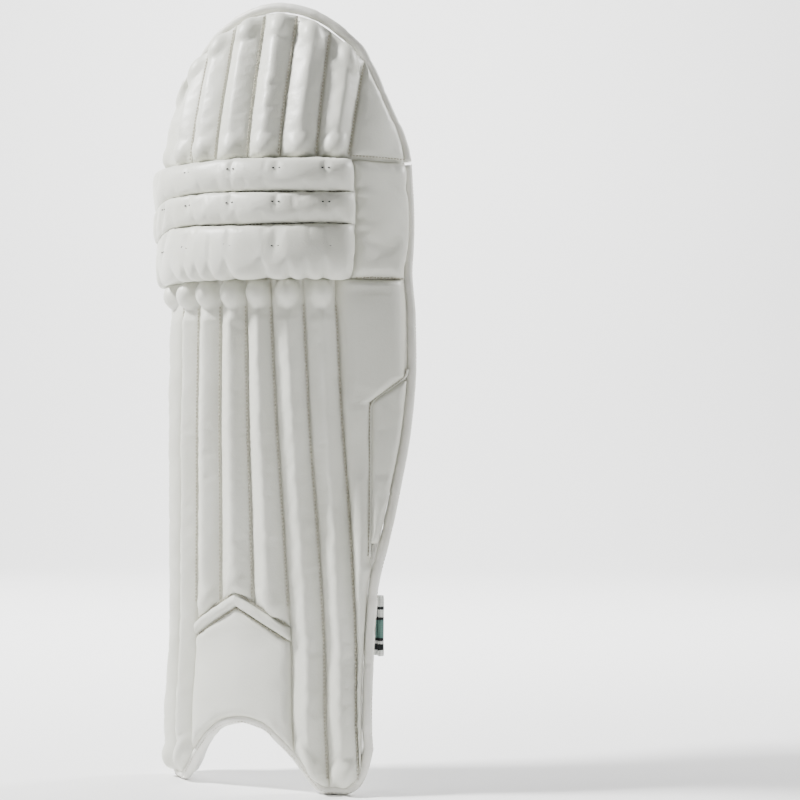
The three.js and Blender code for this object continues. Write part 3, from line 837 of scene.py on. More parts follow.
# Thigh flap
THIGH_FLOOR = CREASE_Z + 0.4
for k, (_, seam_top) in enumerate(TOP_SEAMS):
    left = medial_edge if k == 0 else (lambda z, k=k: top_seam(k - 1, z))
    right = lambda z, k=k: top_seam(k, z)
    shape = channel(FRONT_SEAM, 2.6, THIGH_FLOOR, top_edge, 3 + k, bulbs=(1.2, 1.6), bulb_reach=25,
                    end_reach=10, sides=(-11.0 if k == 0 else None, None))
    front_cover(f"cover_thigh_bolster_{k + 1}", f"thigh_bolster_{k + 1}", (left, right),
                (THIGH_FLOOR, top_edge), shape, groove_of=CHANNEL_SHADE)
    THREADS["thigh_flap"].append(seam_line(beside_seam(right), THIGH_FLOOR + 3,
                                           float(top_edge(seam_top)) - 3, THREAD_DEPTH))
front_cover("cover_thigh_wing", "thigh_wing_panel", (lambda z: top_seam(6, z), lateral_edge),
            (THIGH_FLOOR, top_edge), pillow(-9.5, -4.2, 9, 12), 0.4, groove_of=rim_shade)
THREADS["thigh_flap"].append(row_line(THIGH_FLOOR + 2.6, 108, float(lateral_edge(576)) - 2, -5.6))

# Knee
ROLL_RIGHT = 108
TUFTS = [(-46.9, 0, 39.5, 80), (-86, -44, 0, 39.4, 80), (-86, -44, 0, 39.4, 80)]
TUFT_PLACE = 0.66  # of the roll's height
TUFT_PITCH = 2.6
ROLL_CROWNS = [14.0, 16.0, 20.0]
TURNED_CROWN = 12
ROLL_DIPS = [0, 9, 9, 3]
ROLL_FLOORS = [-6.5, 3.0, 4.0, -8.0]
ROLL_SAGS = (0.6, 0.8, 9.0)


def roll_seam(k):
    """Height of the seam above roll k: level, and falling towards the medial side."""
    def height(u):
        fall = np.clip((-72 - u) / 40, 0, 1)
        wavy = 0.5 * np.sin(u / 21.0 + 2 * k) if k in (1, 2) else 0
        return ROLL_SEAMS[k] - ROLL_DIPS[k] * fall**1.6 + wavy + 0 * u
    return height


def pleats(k, u, t):
    """1 in the sharp gathers along the lower side of a roll, fading to 0 between them."""
    waves = u / 6.6 + 1.2 * np.sin(u / 15.0 + k) + 0.8 * np.sin(u / 37.0) + k + 0.6 * t
    return (1 - np.abs(np.sin(waves))) ** 1.5


def roll_ends(u, z, c):
    """0 outside the roll's two round ends and 1 well inside them."""
    round_end = 13 * (1 - np.sqrt(np.maximum(0, 1 - c**2)))
    from_left = np.maximum(u - medial_edge(z) - 5 - round_end, 0)
    from_right = np.maximum(ROLL_RIGHT - 0.5 - u - 0.3 * round_end, 0)
    return rounded(from_left, 20) * rounded(from_right, 16)


def roll_shape(k):
    low_pleats = 5.5 if k == 2 else 0.5

    def depth(s, t, u, z):
        c = 2 * t - 1
        across = np.maximum(0, 1 - c**2) ** 0.66
        inward = np.maximum(u - medial_edge(z), 0)
        turned = np.clip((-48 - u) / 52, 0, 1)
        floor = mix(ROLL_FLOORS[k + 1], ROLL_FLOORS[k], t)
        floor = -8 + (floor + 8) * rounded(inward, 12) + 6 * turned * rounded(inward, 9)
        body = across * roll_ends(u, z, c)
        pulls = np.zeros_like(u)
        for tuft in TUFTS[k]:
            away = np.hypot(u - tuft, 0.9 * (t - TUFT_PLACE) * (ROLL_SEAMS[k] - ROLL_SEAMS[k + 1]))
            pulls += 1.3 * np.exp(-((away / 3.4) ** 2)) + 0.5 * np.exp(-((away / 9) ** 2))
        gather = low_pleats * pleats(k, u, t) * np.clip(1 - t / 0.45, 0, 1) ** 0.8
        uneven = 0.8 * ripple(u, z, 30 + k, 60) + 0.35 * ripple(u, z, 40 + k, 24)
        return floor + (mix(ROLL_CROWNS[k], TURNED_CROWN, turned) - floor - pulls - gather + uneven) * body
    return depth


def roll_sag(k):
    """The roll hangs over the seam below it, less at each gather."""
    def drop(s, t, u, z):
        hang = np.clip(np.sin(np.pi * np.clip(t * 1.25, 0, 1)), 0, 1)
        return ROLL_SAGS[k] * hang * roll_ends(u, z, 0 * u) * (1 - 0.7 * pleats(k, u, t))
    return drop


even_rows = lambda low, high, t: mix(low, high, 0.5 - 0.5 * np.cos(np.pi * t))
marks = []
for k in range(3):
    shape, sag = roll_shape(k), roll_sag(k)
    # The roll seams take painted shade through groove_of.
    front_cover(f"cover_knee_roll_{k + 1}", f"knee_roll_{k + 1}", (medial_edge, ROLL_RIGHT),
                (roll_seam(k + 1), roll_seam(k)), shape, 0.9, spacing=2.0, rows=even_rows, sag=sag, slack=1.0,
                groove_of=lambda s, t, u, z: 0.4 * np.clip(1 - to_edge(t) / 0.04, 0, 1))
    THREADS["shell"].append(row_line(roll_seam(k + 1), -88, 104, ROLL_FLOORS[k + 1] + 1.2))
    z = np.full(2, mix(ROLL_SEAMS[k + 1], ROLL_SEAMS[k], TUFT_PLACE))
    half, place = np.full(2, 0.5), np.full(2, TUFT_PLACE)
    for middle in (tuft + side for tuft in TUFTS[k] for side in (-TUFT_PITCH, TUFT_PITCH)):
        u = np.array([middle - 1.1, middle + 1.1])
        marks.append(on_shell(u, z - sag(half, place, u, z), shape(half, place, u, z) + 1.3))


def knee_wing_shape(s, t, u, z):
    base = pillow(-8.5, 0.6, 12, 18, uneven=0.7, length=60)(s, t, u, z)
    gathers = np.zeros_like(u)
    for level in ROLL_SEAMS[1:3]:
        away = np.hypot(u - ROLL_RIGHT - 1, z - level)
        turn = np.arctan2(z - level, u - ROLL_RIGHT + 3)
        gathers += 1.1 * np.exp(-((away / 17) ** 2)) * (np.abs(np.sin(3.2 * turn)) - 0.4)
    return base - gathers


front_cover("cover_knee_wing", "knee_wing_panel", (ROLL_RIGHT, lateral_edge), (KNEE_BOTTOM_Z, CREASE_Z),
            knee_wing_shape, 0.5, groove_of=rim_shade, slack=1.5)
THREADS["shell"].append(seam_line(ROLL_RIGHT + 0.4, KNEE_BOTTOM_Z + 4, CREASE_Z - 4, -6.8))
THREADS["shell"].append(row_line(KNEE_BOTTOM_Z + 1.2, ROLL_RIGHT + 4, float(lateral_edge(470)) - 3, -5.6))

# Shin
FOOT_MARGIN = 7.5


def panel_floor(u):
    return foot_edge(u) + FOOT_MARGIN


def lowest_stitch(k):
    """Height where the stitching right of channel k starts: above the chevron where there is one."""
    return {2: 172, 3: 172, 1: 168, 4: 168}.get(k, 14)


for k in range(len(SHIN_SEAMS)):
    left = medial_edge if k == 0 else (lambda z, k=k: shin_seam(k - 1, z))
    right = lambda z, k=k: shin_seam(k, z)
    over_chevron = k in (2, 3, 4)
    bottom = chevron_top if over_chevron else panel_floor
    shape = channel(FRONT_SEAM, 2.6, bottom, KNEE_BOTTOM_Z, 60 + k, bulb_reach=25, end_reach=12,
                    bulbs=(0.6 if over_chevron else 1.5, 6.0), ridge=0.9 if k else 0.4,
                    sides=(-10.0 if k == 0 else None, None))
    front_cover(f"cover_shin_bolster_{k + 1}", f"shin_bolster_{k + 1}", (left, right),
                (bottom, KNEE_BOTTOM_Z), shape, groove_of=CHANNEL_SHADE)
    THREADS["shell"].append(seam_line(beside_seam(right), lowest_stitch(k), KNEE_BOTTOM_Z - 24, THREAD_DEPTH))
INSTEP_SIDES = (lambda z: shin_seam(1, z), lambda z: shin_seam(4, z))
chevron_bottom = lambda u: chevron_top(u) - CHEVRON_HEIGHT


def chevron_shape(s, t, u, z):
    round_top = np.sqrt(np.maximum(0, 1 - np.abs(2 * t - 1) ** 2.2))
    return -8.2 + 8.0 * round_top * rounded(to_edge(s) * 92, 5) + 0.25 * ripple(u, z, 71, 20)


# The band's upper and lower edges take painted shade through groove_of.
front_cover("cover_chevron_band", "chevron_band", INSTEP_SIDES, (chevron_bottom, chevron_top), chevron_shape,
            spacing=1.4, groove_of=lambda s, t, u, z: np.clip(1 - to_edge(t) / 0.08, 0, 1))
THREADS["shell"].append(row_line(lambda u: chevron_top(u) + 1.0, -58, 42, -5.0))
THREADS["shell"].append(row_line(lambda u: chevron_bottom(u) - 1.0, -58, 42, -5.4))
front_cover("cover_instep", "instep_panel", INSTEP_SIDES, (panel_floor, chevron_bottom),
            pillow(-8.5, -3.2, 9, 77, uneven=0.35), 0.5, groove_of=rim_shade)


def wing_rows(low, high, t):
    """Rows of the upper wing panel, with one at the groove's foot, one at its corner and one at its end."""
    levels = [low, GROOVE_FOOT[1], GROOVE_CORNER[1], GROOVE_END[1], high]
    return low + sum((levels[k + 1] - levels[k]) * np.clip(4 * t - k, 0, 1) for k in range(4))


def wing_limit(z):
    on_flap = (z > GROOVE_FOOT[1]) & (z < GROOVE_END[1])
    return np.where(on_flap, np.minimum(groove(z), lateral_edge(z)), lateral_edge(z))


front_cover("cover_calf_wing_upper", "calf_wing_upper", (lambda z: shin_seam(6, z), wing_limit),
            (panel_floor, KNEE_BOTTOM_Z), pillow(-8.5, -0.4, 9, 81, uneven=0.9, length=90), 0.5,
            rows=wing_rows, groove_of=rim_shade)
FLAP_ENDS = (226, 373)
front_cover("cover_calf_wing_lower", "calf_wing_lower", (lambda z: groove(z + 0.5) + 0.4, lateral_edge),
            FLAP_ENDS, pillow(-7.0, -1.6, 7, 84, uneven=0.4), 0.5, groove_of=rim_shade)
piping_z = np.linspace(FLAP_ENDS[0] - 12, GROOVE_END[1] - 3, 60)
piping_u = np.minimum(groove(piping_z) + 0.2, lateral_edge(piping_z))
piping_path = relaxed(on_shell(piping_u, piping_z, -6.6), 2)
attach(prism("calf_flap_piping", piping_path, 1.3 * MM, LEATHER, sides=8), "shell")
THREADS["shell"].append(piping_path + np.array([-0.6, -1.2, 0]) * MM)

# Edge bindings
BINDING_RADIUS = 4.4 * MM
BINDING_STEP = 5.6
PATH_STEP = 2.4 * MM
TUCK_SPACING = 31


def tucks(seed):
    """The binding pinches a little at even steps, and is otherwise uneven."""
    def wobble(along, angle):
        pinch = 0.10 * np.exp(-(((along % TUCK_SPACING - TUCK_SPACING / 2) / 2.2) ** 2))
        uneven = 0.035 * np.sin(along / 4.3 + seed) + 0.03 * np.sin(along / 10.7 + 2 * seed + angle)
        return 1 - pinch + uneven
    return wobble


def edge_piece(node, path, seed, radius=BINDING_RADIUS):
    path = evenly(path, PATH_STEP)
    tube = prism(f"cover_{node}", path, radius, EDGE_LEATHER, sides=14, wobble=tucks(seed), squash=1.15)
    stand_for(tube, [node])


def beside(path, sideways, outward):
    """The path moved sideways along the shell and away from its middle, for a line of stitches on a tube."""
    path = evenly(path, PATH_STEP)
    tangent, away = along_and_out(path)
    return path + away * outward * MM + np.cross(tangent, away) * sideways * MM


edge_z = np.linspace(44, CREASE_Z - 1.5, 120)
medial_path = on_shell(medial_edge(edge_z) - BINDING_STEP - 1.2, edge_z, -7.0)
lateral_path = on_shell(lateral_edge(edge_z) + BINDING_STEP - 0.6, edge_z, -12.6)
foot_u = np.linspace(-135.3, 119.3, 300)
foot_path = on_shell(foot_u, foot_edge(foot_u) + BINDING_RADIUS / MM, -13)
MERGE = 14  # points of the foot binding that a side binding runs along


def merged(foot_end, side):
    """The side binding, led in along the last stretch of the foot binding."""
    above = side[side[:, 2] > foot_end[-1, 2] + 5 * MM]
    return relaxed(evenly(np.concatenate([foot_end, above]), PATH_STEP), 8)


medial_path = merged(foot_path[:MERGE][::-1], medial_path)
lateral_path = merged(foot_path[-MERGE:], lateral_path)
flap_z = np.linspace(THIGH_FLOOR + 1.5, 648, 30)
flap_u = np.linspace(-108, 108, 70)
thigh_path = relaxed(np.concatenate([
    on_shell(medial_edge(flap_z) - BINDING_STEP + 0.6, flap_z, -12.0),
    on_shell(flap_u * 1.03, top_edge(flap_u) + 6.6, -12.5),
    on_shell(lateral_edge(flap_z[::-1]) + BINDING_STEP - 0.6, flap_z[::-1], -12.5),
]), 3)
edge_piece("medial_binding", medial_path, 1)
edge_piece("lateral_binding", lateral_path, 2)
edge_piece("foot_binding", foot_path, 3, radius=BINDING_RADIUS * 0.98)
edge_piece("thigh_binding", thigh_path, 4)

# Linings
LINING_BACK = -20.3


def lining_shape(seed, edge=-21.0, crown=-27.0, reach=10):
    """Depth of a lining's inner face."""
    outward = pillow(-edge, -crown, reach, seed, length=70)
    return lambda s, t, u, z: -outward(s, t, u, z)


cover = slab("lining_thigh", (lambda z: medial_edge(z) - 1, lambda z: lateral_edge(z) + 1),
             (THIGH_FLOOR, lambda u: top_edge(u) + 1), flat(LINING_BACK), lining_shape(101, crown=-28.5),
             LINING_PRINT, spacing=3, soft=None)
stand_for(cover, ["thigh_lining"])
cover = slab("lining_knee", (medial_edge, lateral_edge), (KNEE_BOTTOM_Z, CREASE_Z), flat(LINING_BACK),
             lining_shape(102, reach=6), LINING_PRINT, spacing=3, soft=None)
stand_for(cover, ["knee_lining"])
cover = slab("lining_shin", (medial_edge, lateral_edge), (SHOE_TOP_Z, KNEE_BOTTOM_Z), flat(LINING_BACK),
             lining_shape(103, reach=7), INNER_LEATHER, spacing=3.5, soft=None)
stand_for(cover, ["shin_lining"])
cover = slab("cover_medial_side_wall", (lambda z: medial_edge(z) - 3.4, lambda z: medial_edge(z) - 0.2),
             (50, KNEE_BOTTOM_Z - 1), lambda s, t, u, z: -10.5 + 0.4 * ripple(u, z, 104, 40),
             lambda s, t, u, z: -27 - 1.2 * np.sin(np.pi * s) + 0 * z, INNER_LEATHER, spacing=3, soft=None)
stand_for(cover, ["medial_side_wall"])
SHOE_PANELS = {
    "foot_lining_medial": (medial_edge, SHOE_SEAMS[0]),
    "foot_lining_centre": SHOE_SEAMS,
    "foot_lining_lateral": (SHOE_SEAMS[1], lateral_edge),
}
for k, (node, sides) in enumerate(SHOE_PANELS.items()):
    cover = slab(f"cover_{node}", sides, (lambda u: foot_edge(u) + 5, SHOE_TOP_Z + 6), flat(-16),
                 lining_shape(105 + k, edge=-20.0), INNER_LEATHER, spacing=2.8, groove_of=rim_shade,
                 soft="inner")
    stand_for(cover, [node])

# Inner padding
INNER_TOP, INNER_BOTTOM = KNEE_BOTTOM_Z + 6, 94


def inner_pad(edge, crown, reach, seed):
    """Depth of a pad's inner face: full in the middle and rounded down to the lining at its edges."""
    def depth(s, t, u, z):
        sides = rounded(to_edge(s) * np.ptp(u, axis=1, keepdims=True), reach)
        ends = rounded(z - z.min(), 16) * rounded(z.max() - z, 8)
        return mix(edge, crown, sides * ends) + 0.6 * ripple(u, z, seed, 45) * sides * ends
    return depth


def round_foot(middle, half, low=INNER_BOTTOM, rise=12):
    """Lower edge of a pad that ends in a curve."""
    return lambda u: low + rise * np.clip(np.abs(u - middle) / half, 0, 1) ** 3


PAD_BACK = -27.6
SPINE_SIDES, SPINE_JOIN, SPINE_FOOT = (-28, 53), 285.5, 97


def spine_shape(end_fullness):
    """Depth of the spine's inner face. end_fullness is 0 at its closed end and 1 further in."""
    def depth(s, t, u, z):
        full = rounded(to_edge(s) * (SPINE_SIDES[1] - SPINE_SIDES[0]), 15) * end_fullness(z)
        return mix(-29, -38, full) + 0.4 * ripple(u, z, 120, 60)
    return depth


SPINE_PADS = {  # node, look, lower and upper end, fullness towards the closed end
    "cover_spine_pad": ("spine_pad", INNER_LEATHER, (SPINE_JOIN, INNER_TOP),
                        lambda z: rounded(INNER_TOP - z, 6)),
    "cover_spine_print": ("spine_cover", SPINE_PRINT, (round_foot(12.5, 40.5, SPINE_FOOT, 6), SPINE_JOIN),
                          lambda z: rounded(z - SPINE_FOOT, 14)),
}
for cover_name, (node, look, ends, end_fullness) in SPINE_PADS.items():
    cover = slab(cover_name, SPINE_SIDES, ends, flat(PAD_BACK), spine_shape(end_fullness), look,
                 groove_of=seam_shade(0.05), soft="inner")
    stand_for(cover, [node])
SIDE_PADS = {  # material, slot, sides, crown, roundness of the sides
    "mesh_strip_medial": (WHITE_AIR_MESH, "white_mesh", -62.5, -28.5, -41.0, 12),
    "mesh_strip_lateral": (WHITE_AIR_MESH, "white_mesh", 53.5, 92.5, -41.0, 12),
    "calf_bolster_medial": (BOLSTER_MESH, "grey_mesh", -112.0, -62.5, -47.0, 20),
    "calf_bolster_lateral": (BOLSTER_MESH, "grey_mesh", 92.5, 140.0, -47.0, 20),
}
for k, (node, (look, slot_name, left, right, crown, reach)) in enumerate(SIDE_PADS.items()):
    limit = right if node != "calf_bolster_lateral" else (lambda z: np.minimum(140, lateral_edge(z) - 4))
    foot = round_foot((left + right) / 2, (right - left) / 2)
    cover = slab(f"cover_{node}", (left, limit), (foot, INNER_TOP), flat(PAD_BACK),
                 inner_pad(-29.5, crown, reach, 130 + k), look, soft="inner")
    stand_for(cover, [node])

# Knee locator
LOCATOR_HALF, LOCATOR_END, LOCATOR_RISE, BAR_WIDTH = 49, 30, 34, 26
LOCATOR_BACK = -27.2
LOCATOR_ENDS = (LOCATOR_Z - LOCATOR_RISE, LOCATOR_Z + LOCATOR_RISE)


def hexagon(half, end, rise):
    """Half width at each height of a shape with six corners round the locator's middle."""
    return lambda z: mix(half, end, np.clip(np.abs(z - LOCATOR_Z) / rise, 0, 1))


def both_sides(half):
    return lambda z: LOCATOR_CENTRE - half(z), lambda z: LOCATOR_CENTRE + half(z)


locator_half = hexagon(LOCATOR_HALF, LOCATOR_END, LOCATOR_RISE)


def bar_outside(z):
    """Half width to the outer side of the bars, which is one smooth curve."""
    rise = np.clip(np.abs(z - LOCATOR_Z + 2) / LOCATOR_RISE, 0, 1)
    return LOCATOR_HALF + BAR_WIDTH - 20 * rise**2


def locator_shape(s, t, u, z):
    """Full mesh pad, pressed flat under the badge in its middle."""
    sides = rounded(to_edge(s) * 2 * locator_half(z), 15)
    ends = rounded(to_edge(t) * 2 * LOCATOR_RISE, 12)
    hub = np.hypot((u - LOCATOR_CENTRE) / 26, (z - LOCATOR_Z) / 28)
    pressed = np.clip(1.25 - hub, 0, 0.35) / 0.35
    return mix(-30, -44.5, sides * ends) * (1 - pressed) + pressed * -43.2 + 0.3 * ripple(u, z, 140, 26)


cover = slab("cover_knee_locator", both_sides(locator_half), LOCATOR_ENDS, flat(LOCATOR_BACK), locator_shape,
             LOCATOR_MESH, spacing=1.8, soft=None)
stand_for(cover, ["knee_locator_pad"])
bar_shape = lambda s, t, u, z: mix(-28.5, -33.5, rounded(to_edge(s) * BAR_WIDTH, 5)
                                   * rounded(to_edge(t) * 2 * LOCATOR_RISE, 4))
for side, node in ((-1, "knee_bar_medial"), (1, "knee_bar_lateral")):
    inside = lambda z, side=side: LOCATOR_CENTRE + side * (locator_half(z) + 0.3)
    outside = lambda z, side=side: LOCATOR_CENTRE + side * bar_outside(z)
    sides = (outside, inside) if side < 0 else (inside, outside)
    cover = slab(f"cover_{node}", sides, LOCATOR_ENDS, flat(LOCATOR_BACK), bar_shape, BLACK_RUBBER,
                 spacing=1.4, soft=None)
    stand_for(cover, [node])

BADGE_RISE, FIELD_RISE = 26, 22.6
badge = slab("cover_badge_frame", both_sides(hexagon(BADGE_HALF, 13, BADGE_RISE)),
             (LOCATOR_Z - BADGE_RISE, LOCATOR_Z + BADGE_RISE), flat(-43.4),
             lambda s, t, u, z: mix(-44.4, -46.6, rounded(np.minimum(to_edge(s) * 40, to_edge(t) * 52), 2)),
             BLACK_RUBBER, spacing=1.2, soft=None)
stand_for(badge, ["knee_badge"])
badge_field = slab("badge_field", both_sides(hexagon(21.6, 11.2, FIELD_RISE)),
                   (LOCATOR_Z - FIELD_RISE, LOCATOR_Z + FIELD_RISE), flat(-46.0), flat(-47.0), GREY_RUBBER,
                   spacing=1.5, soft=None)
attach(badge_field, "shell")
for across, side in (("m", -1), ("l", 1)):
    for upright, way in (("b", -1), ("t", 1)):
        tick_path = on_shell(LOCATOR_CENTRE + side * np.linspace(8.2, 11.4, 5),
                             LOCATOR_Z + way * np.linspace(14.5, 20.5, 5), -47.1)
        tick = prism(f"badge_tick_{across}{upright}", tick_path, 0.8 * MM, BLACK_RUBBER, sides=6)
        attach(tick, "shell")

# ---------------------------------------------------------------- cloth simulation of the slack faces
CLOTH_FRAMES = 14
CLOTH = {
    "quality": 4,
    "mass": 0.25,
    "tension_stiffness": 15,
    "compression_stiffness": 15,
    "shear_stiffness": 6,
    "bending_stiffness": 1.5,
    "air_damping": 2,
    "vertex_group_mass": "sewn",
    "use_pressure": True,
    "uniform_pressure_force": 4.0,
    "shrink_min": -0.02,
}


def pinned(shape):
    """True at the rim of a grid, where the face is sewn down."""
    rim = np.zeros(shape, bool)
    rim[[0, -1], :] = True
    rim[:, [0, -1]] = True
    return rim.ravel()


def settle(faces_of_pieces):
    """Blows every slack face up a little as cloth that is slightly too large, sewn down along its rim.
    A point moves no further than its face's slack."""
    points, quads, pins, places, caps = [], [], [], [], []
    total = 0
    for piece, first, shape, cells, slack in faces_of_pieces:
        size = shape[0] * shape[1]
        here = np.zeros(len(piece.data.vertices) * 3)
        piece.data.vertices.foreach_get("co", here)
        points.append(here.reshape(-1, 3)[first:first + size])
        quads.append(cells + total)
        pins.append(pinned(shape))
        places.append((piece, first, size, here.reshape(-1, 3)))
        caps.append(np.full((size, 1), slack * MM))
        total += size
    start = np.concatenate(points)
    work = make_mesh("cloth_work", start, np.concatenate(quads))
    group = work.vertex_groups.new(name="sewn")
    group.add(np.nonzero(np.concatenate(pins))[0].tolist(), 1.0, "REPLACE")
    cloth = work.modifiers.new("cloth", "CLOTH")
    for key, value in CLOTH.items():
        setattr(cloth.settings, key, value)
    cloth.settings.effector_weights.gravity = 0
    cloth.collision_settings.use_collision = False
    cloth.point_cache.frame_end = CLOTH_FRAMES
    for step in range(1, CLOTH_FRAMES + 1):
        bpy.context.scene.frame_set(step)
    graph = bpy.context.evaluated_depsgraph_get()
    settled = np.zeros(len(start) * 3)
    work.evaluated_get(graph).data.vertices.foreach_get("co", settled)
    shift = settled.reshape(-1, 3) - start
    length = np.linalg.norm(shift, axis=1, keepdims=True)
    cap = np.concatenate(caps)
    shift *= cap * np.tanh(length / cap) / np.maximum(length, 1e-9)
    bpy.context.scene.frame_set(1)
    bpy.data.objects.remove(work)
    begin = 0
    for piece, first, size, here in places:
        here[first:first + size] += shift[begin:begin + size]
        piece.data.vertices.foreach_set("co", here.ravel())
        piece.data.update()
        begin += size


settle(SOFT_FACES)

# ---------------------------------------------------------------- straps
STRAP_THICKNESS, TAPE_THICKNESS = 2.2, 1.4
BAND_ROWS = 22


def flowing(points, spacing):
    """A smooth path through points, in millimetres, with even steps: a centripetal Catmull-Rom curve."""
    points = np.asarray(points, float)
    padded = np.concatenate([[2 * points[0] - points[1]], points, [2 * points[-1] - points[-2]]])
    pieces = []
    for stage in zip(padded[:-3], padded[1:-2], padded[2:-1], padded[3:]):
        knots = np.cumsum([0, *(math.sqrt(np.linalg.norm(b - a)) for a, b in zip(stage, stage[1:]))])
        k = np.linspace(knots[1], knots[2], 40, endpoint=False)[:, None]
        for spans in ([(0, 1), (1, 2), (2, 3)], [(0, 2), (1, 3)], [(1, 2)]):
            stage = [mix(a, b, (k - knots[low]) / (knots[high] - knots[low]))
                     for a, b, (low, high) in zip(stage, stage[1:], spans)]
        pieces.append(stage[0])
    return evenly(np.concatenate([*pieces, points[-1:]]), spacing)


def band(name, path, bottom, width, thickness, material, by_width=True, wave=0.5, point=0.0, seed=1):
    """A flat strap: its middle line in plan, in the CAD part's millimetres, and its lower edge and width.
    point sets its first end back at its upper and lower edges, so that the end comes to a point."""
    along = lengths(path)
    v, k = np.meshgrid(np.linspace(0, 1, BAND_ROWS + 1), np.linspace(0, 1, len(path)), indexing="ij")
    start = point * np.abs(2 * v - 1)
    place = start + (along[-1] - start) * k
    x, y = (np.interp(place, along, path[:, axis]) for axis in range(2))
    step = unit(np.gradient(path, axis=0))
    normal_x = np.interp(place, along, step[:, 1])
    normal_y = np.interp(place, along, -step[:, 0])
    lean = wave * ripple(place, v * width, seed, 70) + 0.25 * wave * ripple(place, v * width, seed + 9, 22)
    z = bottom + (1 - v) * width + 0.5 * wave * ripple(place, 0 * place, seed + 5, 90)
    selvedge = 1 - 0.35 * (np.abs(2 * v - 1) > 0.97)
    layers = []
    for side in (0.5, -0.5):
        offset = side * thickness * selvedge + lean
        layers.append(np.stack([x + normal_x * offset, y + normal_y * offset, z], -1) * MM + ORIGIN)
    uv = np.stack([place * MM, v if by_width else v * width * MM], -1).reshape(-1, 2)
    points = np.concatenate([layer.reshape(-1, 3) for layer in layers])
    return make_mesh(name, points, grid_faces(v.shape)[1], np.concatenate([uv, uv]), material), layers


def bowed(start, landing, bow, fractions, beyond=0.0):
    """Points on the strap's bow behind the leg, at fractions of the way across."""
    return [mix(start, landing, f) + [0, bow * 4 * f * (1 - f) + beyond] for f in fractions]


def strap_ends(bottom, width, fold):
    """The strap's start and landing in plan, and points near the wing and near the side wall."""
    middle = bottom + width / 2
    wing, wall = float(lateral_edge(middle)), float(medial_edge(middle))
    at_wing = lambda step, depth: shell_mm(wing + step, middle, depth)[:2]
    at_wall = lambda step, depth: shell_mm(wall + step, middle, depth)[:2]
    return at_wing(fold, -34.4), at_wall(2, -37), at_wing, at_wall


HINGE_RADIUS = 2.3


def hinge_fold(centre, start, ahead):
    """The strap's end folded round its hinge line, as points that lead up to the strap's start."""
    outward = start - centre
    first = math.atan2(outward[1], outward[0])
    away = -(ahead - start)
    turn = math.copysign(1, outward[0] * away[1] - outward[1] * away[0])
    angles = first + turn * np.radians(np.linspace(215, 20, 9))
    return [centre + HINGE_RADIUS * np.array([math.cos(a), math.sin(a)]) for a in angles]


TAPES = {  # look, step from the medial edge, and depths of the two ends
    "hook": (HOOK_TAPE, -7.2, (-27, -14)),
    "loop": (LOOP_TAPE, -4.9, (-28, -13)),
}
STITCH_ROWS_FROM_START = (16, 20)
STITCH_ROWS_FROM_END = (9, 13)  # millimetres
BAND_SPACING = 1.6

for number, (name, (bottom, width, bow, fold)) in enumerate(STRAPS.items()):
    start, landing, at_wing, at_wall = strap_ends(bottom, width, fold)
    across = bowed(start, landing, bow, (0.2, 0.4, 0.6, 0.8))
    folded = hinge_fold(at_wing(fold, -32.7), start, across[0])
    path = flowing([*folded, start, *across, landing, at_wall(-10, -29), at_wall(-10, -12)], BAND_SPACING)
    strap, layers = band(f"webbing_{name}_strap", path, bottom, width, STRAP_THICKNESS, WEBBING,
                         seed=200 + number)
    stand_for(strap, [f"{name}_strap"])
    anchor_path = flowing([at_wing(-7, -30.6), at_wing(0, -31), at_wing(fold - 2.6, -31)], BAND_SPACING)
    anchor, _ = band(f"webbing_{name}_anchor", anchor_path, bottom + 0.8, width - 1.6, STRAP_THICKNESS,
                     WEBBING, wave=0.1, seed=210 + number)
    stand_for(anchor, [f"{name}_strap_anchor"])
    for tape_name, (look, step, ends) in TAPES.items():
        tape_path = flowing([at_wall(step, depth) for depth in ends], 1.2)
        piece, _ = band(f"pile_{name}_{tape_name}", tape_path, bottom + 3, width - 6, TAPE_THICKNESS, look,
                        wave=0.1, seed=220 + number)
        stand_for(piece, [f"{name}_{tape_name}_tape"])
    outer_face = layers[0]
    columns = [outer_face.shape[1] - 1 - round(back / BAND_SPACING) for back in STITCH_ROWS_FROM_END]
    lines = [outer_face[1:-1, column] for column in (*columns, *STITCH_ROWS_FROM_START)]
    seams = stitches(f"{name}_strap_stitching", lines, WHITE_THREAD, pitch=2.6, length=2.0, radius=0.5 * MM)
    attach(seams, f"{name}_strap_band")

# Patch on the calf strap
PATCH_SPAN = (0.6, 0.71, 0.82, 0.93)
PATCH_THICKNESS, PATCH_LIFT = 1.5, 2.1
bottom, width, bow, fold = STRAPS["calf"]
start, landing, _, _ = strap_ends(bottom, width, fold)
patch_path = flowing(bowed(start, landing, bow, PATCH_SPAN, PATCH_LIFT), 1.2)
patch, layers = band("cover_calf_patch", patch_path, bottom + 2, width - 4, PATCH_THICKNESS, PATCH_PRINT,
                     by_width=False, wave=0.25, point=15, seed=200)
stand_for(patch, ["calf_strap_patch"])
face = max(layers, key=lambda layer: layer[..., 1].mean())
edge_lines = [face[1, 1:-2], face[-2, 1:-2], face[1:-1, -3], face[1:-1, 2]]
seams = stitches("calf_patch_stitching", edge_lines, SHADE_DARKENED_THREAD, pitch=2.6, length=1.9, radius=0.45 * MM)
attach(seams, "calf_strap_band")

# ---------------------------------------------------------------- stitching, and the fold at the crease
for body, lines in THREADS.items():
    attach(stitches(f"{body}_seam_stitching", lines, SHADE_DARKENED_THREAD), body)
seams = stitches("knee_roll_tufts", marks, BLACK_RUBBER, pitch=2.2, length=2.1, radius=0.62 * MM)
attach(seams, "shell")
binding_lines = [beside(foot_path, 2.2, 3.9), beside(medial_path, -2.4, 3.9), beside(lateral_path, 2.4, 3.9)]
seams = stitches("shell_binding_stitching", binding_lines, SHADE_DARKENED_THREAD, radius=0.45 * MM)
attach(seams, "shell")

